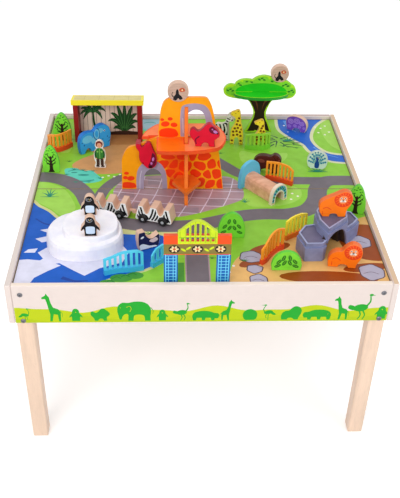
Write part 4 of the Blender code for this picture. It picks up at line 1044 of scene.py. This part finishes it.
def leaf(foot, tip, width, sag):
    """A leaf along an arched line, widest in its middle."""
    left, right = [], []
    for k in range(9):
        (x, z), (dx, dz) = arch(foot, tip, sag, k / 8)
        half = 0.35 + width / 2 * math.sin(math.pi * k / 8) ** 0.8
        d = math.hypot(dx, dz)
        left.append((x - dz / d * half, z + dx / d * half))
        right.append((x + dz / d * half, z - dx / d * half))
    return left + right[::-1]


def rib(foot, tip, sag):
    return band([arch(foot, tip, sag, t)[0] for t in (0.12, 0.5, 0.86)], (1.3, 0.6), per=3)


PALM_FOOT = (-42, 64)
PALM_TIPS = (
    ((-77, 58), 11), ((-68, 46), 13), ((-74, 76), 8), ((-58, 90), 4), ((-36, 92), 3), ((-18, 84), 7),
    ((-8, 68), 12), ((-18, 46), 13))
PALM = [leaf(PALM_FOOT, tip, 8, sag) for tip, sag in PALM_TIPS]
PALM.append(band([(-42, 66), (-41, 40), (-36, 4)], (4.4, 7.5)))
BROAD_FOOT = (40, 7)
BROAD_TIPS = (
    ((-4, 40), 17), ((4, 64), 15), ((22, 88), 8), ((42, 94), 2), ((62, 86), 6), ((76, 62), 15),
    ((79, 36), 16), ((70, 20), 10), ((10, 18), 10))
BROAD = [leaf(BROAD_FOOT, tip, 11, sag) for tip, sag in BROAD_TIPS]
RIBS = [rib(BROAD_FOOT, tip, sag) for tip, sag in BROAD_TIPS]
RIBS += [rib(PALM_FOOT, tip, sag) for tip, sag in PALM_TIPS]
ROOF_RUN, ROOF_FALL = 61, 13
slope = Vector((0, ROOF_RUN, -ROOF_FALL)).normalized()
normal = Vector((0, ROOF_FALL, ROOF_RUN)).normalized()
roof = Matrix((Vector((1, 0, 0)), slope, normal)).transposed().to_4x4()
roof.translation = Vector((SHELTER_X, SHELTER_EAVES, FLOOR + ROOF))
roof_length = math.hypot(ROOF_RUN, ROOF_FALL)
printed("shelter_roof_print", "shelter", roof, rect(-92, 1, 92, roof_length - 1), [
    ("roof", [rect(-93, 0, 93, 64)]), ("roof_top", [rect(-87, 6, 87, roof_length - 6)]),
    ("roof_line", [rect(-87, 6 + 12.4 * k, 87, 7 + 12.4 * k) for k in range(1, 4)]
     + [rect(-60 + 38 * k, 6, -59.2 + 38 * k, roof_length - 6) for k in range(4)]),
])
rear = upright(SHELTER_X, SHELTER_BACK, FLOOR, 0)
printed(
    "shelter_rear_print", "shelter", rear, rect(-76.5, 0.3, 76.5, 96), [
        ("plank", [rect(-77, 0, 77, 97)]),
        ("plank_line", [rect(-70 + 12 * k, 0, -68.8 + 12 * k, 97) for k in range(13)]),
        ("palm", PALM + BROAD, rect(-76, 0, 76, 96)), ("palm_light", RIBS, rect(-76, 0, 76, 96)),
        ("shadow", [[(-77, 0), (77, 0), (77, 9), (40, 13), (-10, 8), (-50, 14), (-77, 10)]])])


# Wheel hubs

AXLE, HALF_TRACK = 10, 23.6
disc = oval(0, 0, 3.5, steps=18)
HUB = [("silver", [disc]), ("grey", [oval(0, 0, 1.7, steps=12)]), ("silver", [oval(0, 0, 0.9, steps=8)])]
for name, x, y, yaw in (
    ("wagon_1_wheelset_rear", -223.05, -101.51, -13), ("wagon_1_wheelset_front", -177.26, -112.08, -13),
    ("wagon_2_wheelset_rear", -122.37, -127.25, -18), ("wagon_2_wheelset_front", -77.67, -141.78, -18)):
    for side, back in SIDES:
        printed(f"{name}_hub_{side}", name, upright(x, y, FLOOR + AXLE, yaw, HALF_TRACK, back), disc, HUB)


# The frieze on the front rail

def ostrich():
    return [oval(0, 24, 12, 7.5, 8), band([(9, 27), (14, 37), (13, 48)], (3.4, 2)), oval(14, 50, 3.4, 2.3),
            [(16, 51), (21, 49), (16, 48.6)], band([(-2, 19), (1, 9), (-3, 0)], (3, 1.7)),
            band([(4, 19), (8, 9), (5, 0)], (3, 1.7)), blob((-9, 26), (-18, 30), (-20, 23), (-11, 19))]


def crane():
    return [oval(0, 22, 10, 5.4, -12), band([(7, 20), (11, 30), (7, 40)], (2.6, 1.6)), oval(7, 42, 2.7, 2),
            [(9, 43.2), (17, 41.4), (9, 40.8)], band([(0, 18), (0, 0)], (1.8, 1.2)),
            band([(3, 18), (6, 9), (2, 5)], (1.6, 1.0)), blob((-8, 24), (-17, 16), (-12, 14), (-6, 18))]


def big_elephant():
    return [[*curve((-12, 0), (-12, 16), (-18, 17), (-23, 11), (-25, 4), (-29, 4), (-31, 14), (-33, 26),
                    (-31, 38), (-23, 46), (-11, 46), (2, 49), (17, 48), (28, 41), (33, 28), (32, 12),
                    (32, 0)), (21, 0),
             *curve((21, 0), (19, 13), (9, 16), (0, 13), (-2, 0))],
             band([(32, 34), (37, 26), (36, 18)], (1.8, 1.0))]


def tall_giraffe():
    return [[(-2, 0), (0, 24), (-3, 40), (-6, 62), (-9, 74), (-18, 74), (-18, 79), (-9, 85), (-6, 92),
             (-3, 86), (1, 80), (4, 60), (9, 46), (22, 40), (27, 31), (26, 0), (21, 0), (19, 22), (9, 24),
             (4, 0)],
            band([(26, 34), (31, 24), (30, 14)], (1.6, 0.9))]


def wading_hippo():
    return [[*curve((-30, 6), (-33, 14), (-30, 22), (-20, 24), (-8, 29), (10, 30), (26, 26), (33, 16),
                    (31, 0)), (24, 0), (22, 8),
             (10, 8), (9, 0), (2, 0), (0, 8), (-12, 8), (-14, 0), (-21, 0), (-22, 6)]]


FRIEZE_FOOT, HILL_TOP = 364, 395


def hill(x):
    return HILL_TOP + 6 * math.sin(x / 31 + 0.6) + 3 * math.sin(x / 17)


def walking(loops, x, scale, flip=False):
    """The loops at their size and place on the rail; flip turns them the other way."""
    side = -scale if flip else scale
    return [[(x + u * side, FRIEZE_FOOT + w * scale) for u, w in loop] for loop in loops]


parade = []
for row in (
    (crane(), -366, 0.8), (tall_giraffe(), -314, 0.8), ([FIGURES["penguin_back"]], -262, 0.7),
    ([FIGURES["baboon_right"]], -212, 0.6), (big_elephant(), -142, 1.05),
    ([FIGURES["penguin_front"]], -84, 0.62), (ostrich(), -44, 0.9), (wading_hippo(), 6, 0.85, True),
    (tall_giraffe(), 54, 0.6, True), ([FIGURES["peacock"]], 98, 0.6), (crane(), 136, 0.95, True),
    ([FIGURES["lion_front"]], 184, 0.62), (wading_hippo(), 238, 0.9), (tall_giraffe(), 284, 0.68),
    (ostrich(), 328, 1.3), ([FIGURES["penguin_back"]], 374, 0.75)):
    parade += walking(*row)
marks = [
    band([(-158, 400), (-151, 403), (-148, 396), (-151, 388)], 1.1), oval(-170, 399, 0.9),
    oval(-262, 388, 1.2), oval(-84, 385, 1.1), oval(374, 390, 1.3), oval(-24, 378, 0.8), oval(261, 379, 0.8)]
HILLS, LOWER = (
    [(-402, 350)] + [(x, hill(x + on) - down) for x in range(-402, 404, 12)] + [(402, 350)]
    for on, down in ((0, 0), (60, 25)))


def frieze(o):
    return [("rail", [o]), ("hill", [HILLS]), ("hill_dark", [LOWER]), ("silhouette", parade), ("hill", marks)]


sheets("frieze_print", "rail_front", upright(0, FRONT, 0, 0), frieze)


# The cave's level faces: rims, lighter as a painted highlight along the edges, and the faces inside them a
# little lower

for level in (72.0, 44.0, 42.0):
    for kind, drop in (("rim", 0.0), ("top", 2.5)):
        sheets(f"cave_print_{level - drop:.0f}_{kind}", "cave", at_height(level - drop),
               lambda o, kind=kind: [(f"cave_{kind}", [o])])


# Materials of the solids

UP, DOWN = (0, 0, 1), (0, 0, -1)
natural = wood("pale_wood", (220, 182, 158), 0.10)
board = wood("board_wood", (196, 160, 120), 0.12)
long_pine, tall_pine = (wood(f"pine_{axis}", (238, 208, 184), 0.13, axis) for axis in (0, 2))
# The bare-wood tops are one wood, each given the colour it takes under the light: painted light and shade,
# lighter at the front and left, darker at the back.
for node, edge in (
    ("rail_front", (236, 220, 206)), ("rail_back", (190, 166, 160)), ("rail_left", (218, 206, 200)),
    ("rail_right", (214, 184, 152))):
    dress(
        node,
        paint(f"{node}_paint", PALETTE["rail"], 0.45, 0.012, grain=0.012, parts=[(UP, RAIL_EDGE, edge)]))
dress("leg_front_left leg_front_right leg_back_left leg_back_right", tall_pine)
dress("crossbar", long_pine)
dress("board_front board_back", board)


def steel():
    n = Nodes("bolt_steel")
    scratch = n.noise(n.place((1500, 1500, 200)), 1.0, 3.0)
    n.look(Base_Color=n.mix(n.span(scratch, 0.3, 0.7), srgb(134, 134, 138), srgb(92, 92, 98)),
           Metallic=1.0, Roughness=n.span(scratch, 0.3, 0.7, 0.24, 0.42))
    n.bump(scratch, 0.08, 0.0001)
    return n.mat


dress("bolt_left_upper bolt_left_lower bolt_right_upper bolt_right_lower", steel())


def within(n, u, d, top):
    """1 inside a block of the den: u spans along the cave's front, d inwards, and top is its height."""
    along, inward = Vector((0.7218, 0.6921, 0)), Vector((-0.6921, 0.7218, 0))
    start = Vector((256, -295, 0))
    out = n.beyond(DOWN, -(FLOOR + top))
    for direction, low, high in ((along, *u), (inward, *d)):
        base = direction.dot(start)
        out = n.math("MULTIPLY", out, n.beyond(direction, base + low))
        out = n.math("MULTIPLY", out, n.beyond(-direction, -(base + high)))
    return out


def cave_paint():
    """Cast rock: clouded grey-blue, with painted shade darkening it inside the den."""
    n = Nodes("cave_stone")
    rgb = srgb(124, 130, 168)
    cloud = n.noise(n.place((16, 16, 16)), 2.6, 4.0)
    fine = n.noise(n.place((300, 300, 300)), 1.0, 2.0)
    colour = n.mix(n.span(cloud, 0.32, 0.7), shade(rgb, 1.14), shade(rgb, 0.82))
    # Painted shade: the den's inner faces are darkened by where they lie.
    den = n.math("MAXIMUM", within(n, (7, 91), (4.5, 42), 41), within(n, (22, 84), (4.5, 19), 54))
    den = n.math("MAXIMUM", den, within(n, (30, 84), (4.5, 41), 52))
    n.look(Base_Color=n.mix(den, colour, srgb(44, 34, 38)), Roughness=n.span(cloud, 0.3, 0.7, 0.40, 0.54))
    n.bump(n.mix(0.5, cloud, fine), 0.2, 0.0006)
    return n.mat


def ice_paint():
    n = Nodes("ice_paint")
    cloud = n.noise(n.place((11, 11, 11)), 2.4, 4.0)
    fine = n.noise(n.place((240, 240, 240)), 1.0, 2.0)
    n.look(Base_Color=n.mix(n.span(cloud, 0.35, 0.72), srgb(250, 247, 252), srgb(230, 229, 242)),
           Roughness=n.span(fine, 0.3, 0.7, 0.4, 0.55), Subsurface_Weight=0.12,
           Subsurface_Radius=(0.004, 0.005, 0.006))
    n.bump(n.mix(0.5, cloud, fine), 0.25, 0.0006)
    return n.mat


dress("cave", cave_paint())
dress("iceberg", ice_paint())
dress("wagon_1_wheelset_front wagon_1_wheelset_rear wagon_2_wheelset_front wagon_2_wheelset_rear",
      plastic("wheel_black", (30, 28, 30), 0.32, 0.1))
for names, bars, base in (
    ("blue_long blue_short", (84, 204, 238), (60, 176, 224)),
    ("orange_left orange_middle orange_front", (244, 152, 40), (226, 74, 30)),
    ("yellow", (246, 222, 60), (240, 120, 36)), ("green", (150, 210, 60), (120, 200, 50))):
    for name in names.split():
        dress(
            f"fence_{name}", plastic(f"fence_{name}_paint", base, 0.36, parts=[(UP, FLOOR + BAR_FOOT, bars)]))

under_roof = normal.dot(Vector((0, SHELTER_EAVES, FLOOR + EAVES))) + 0.2
dress(
    "shelter",
    plastic("shelter_paint", (150, 22, 28), vary=0.08, parts=[(normal, under_roof, PALETTE["roof"])]))
along = Vector((math.sin(math.radians(TUNNEL_YAW)), -math.cos(math.radians(TUNNEL_YAW)), 0))
middle = along.dot(Vector((TUNNEL_X, TUNNEL_Y, 0)))
TO_PORTAL = 45.5
dress("tunnel", grained(
    "tunnel_wood", (232, 180, 148), (200, 142, 112), (9, 60, 60), 1.6, 4.0, (0.35, 0.72), (0.4, 0.55),
    (0.12, 0.0004), [(along, middle + TO_PORTAL, (230, 212, 190)),
                     (-along, TO_PORTAL - middle, PALETTE["sky"])]))
dress("gate", grained(
    "gate_paint", (236, 88, 38), (214, 70, 28), (40, 40, 9), 2.0, 3.0, (0.3, 0.7), (0.36, 0.48),
    (0.1, 0.0003), [(UP, FLOOR + GATE_ARCH, (190, 214, 34)), (DOWN, -(FLOOR + GATE_LEGS), (22, 100, 178))]))
for colour, names in (
    ((34, 120, 206), "elephant"), ((226, 214, 200), "keeper"),
    ((96, 200, 66), "tree_back_left tree_front_left tree_right"), ((96, 206, 60), "bush_gate bush_front"),
    ((222, 206, 190), "zebra"), ((226, 180, 70), "giraffe_tall giraffe_small"), ((190, 200, 186), "peacock"),
    ((70, 30, 26), "bear"), ((230, 108, 44), "lion_front lion_top"),
    ((170, 16, 44), "baboon_left baboon_right"), ((150, 210, 70), "acacia_panel"),
    ((40, 160, 50), "acacia_shelf"), ((246, 150, 40), "rock_panel"), ((244, 120, 34), "rock_cross"),
    ((240, 84, 34), "rock_platform")):
    for node in names.split():
        dress(node, paint(f"{node}_paint", colour, 0.4, 0.1))
dress("wagon_1 wagon_2 hippo orca penguin_back penguin_front monkey_disc_rock monkey_disc_tree", natural)


# Floor, light and camera

FLOOR_GLOW, AROUND, BACKDROP = 0.36, 0.56, 1.0


def seen_directly(tree):
    """1 on rays from the camera, and on those that a shiny or clear surface sends out."""
    path = tree.nodes.new("ShaderNodeLightPath")
    out = path.outputs["Is Camera Ray"]
    for name in ("Is Glossy Ray", "Is Transmission Ray"):
        node = tree.nodes.new("ShaderNodeMath")
        node.operation = "MAXIMUM"
        tree.links.new(out, node.inputs[0])
        tree.links.new(path.outputs[name], node.inputs[1])
        out = node.outputs[0]
    return out


def floor_paint():
    n = Nodes("studio_floor")
    cloud = n.noise(n.place((2, 2, 2)), 2.0, 2.0)
    n.look(Base_Color=n.mix(n.span(cloud, 0.3, 0.7), (0.93, 0.93, 0.93), (0.90, 0.90, 0.905)), Roughness=0.9,
           Specular_IOR_Level=0.1, Emission_Color=(1.0, 1.0, 1.0, 1.0),
           Emission_Strength=n.math("MULTIPLY", seen_directly(n.tree), FLOOR_GLOW))
    return n.mat


bpy.ops.mesh.primitive_plane_add(size=14, location=(0, 1.0, -0.0005))
floor = bpy.context.object
floor.name = "studio_floor"
floor.data.materials.append(floor_paint())


def lamp(name, place, size, power, colour=(1, 1, 1)):
    """A round lamp that looks at the middle of the table."""
    data = bpy.data.lights.new(name, "AREA")
    data.shape = "DISK"
    data.size = size
    data.energy = power
    data.color = colour
    obj = bpy.data.objects.new(name, data)
    obj.location = place
    obj.rotation_euler = (Vector((0, 0, 0.4)) - Vector(place)).to_track_quat("-Z", "Y").to_euler()
    bpy.context.scene.collection.objects.link(obj)


lamp("key", (-1.2, -2.7, 2.3), 2.2, 52, (1.0, 0.985, 0.96))
lamp("fill", (2.2, -2.2, 1.9), 2.4, 26, (0.97, 0.985, 1.0))
lamp("top", (0.2, 0.6, 3.4), 2.6, 22)
world = bpy.data.worlds.new("studio")
world.use_nodes = True
tree_of_world = world.node_tree
background = tree_of_world.nodes["Background"]
background.inputs["Color"].default_value = (1, 1, 1, 1)
strength = tree_of_world.nodes.new("ShaderNodeMapRange")
strength.inputs[3].default_value = AROUND
strength.inputs[4].default_value = BACKDROP
tree_of_world.links.new(seen_directly(tree_of_world), strength.inputs[0])
tree_of_world.links.new(strength.outputs[0], background.inputs["Strength"])
bpy.context.scene.world = world

CAMERA_AT = (-0.0731, -1.6459, 1.4457)
YAW, PITCH, ROLL = (math.radians(a) for a in (-2.891, 35.56, 1.491))
forward = Vector((-math.sin(YAW) * math.cos(PITCH), math.cos(YAW) * math.cos(PITCH), -math.sin(PITCH)))
right = Vector((math.cos(YAW), math.sin(YAW), 0))
up = right.cross(forward)
across = right * math.cos(ROLL) + up * math.sin(ROLL)
above = up * math.cos(ROLL) - right * math.sin(ROLL)
lens = bpy.data.cameras.new("camera")
lens.lens = 57.30
lens.sensor_width = 36
camera = bpy.data.objects.new("camera", lens)
stand = Matrix((across, above, -forward)).transposed().to_4x4()
stand.translation = CAMERA_AT
camera.matrix_world = stand
bpy.context.scene.collection.objects.link(camera)
bpy.context.scene.camera = camera
bpy.context.scene.view_settings.view_transform = "Standard"
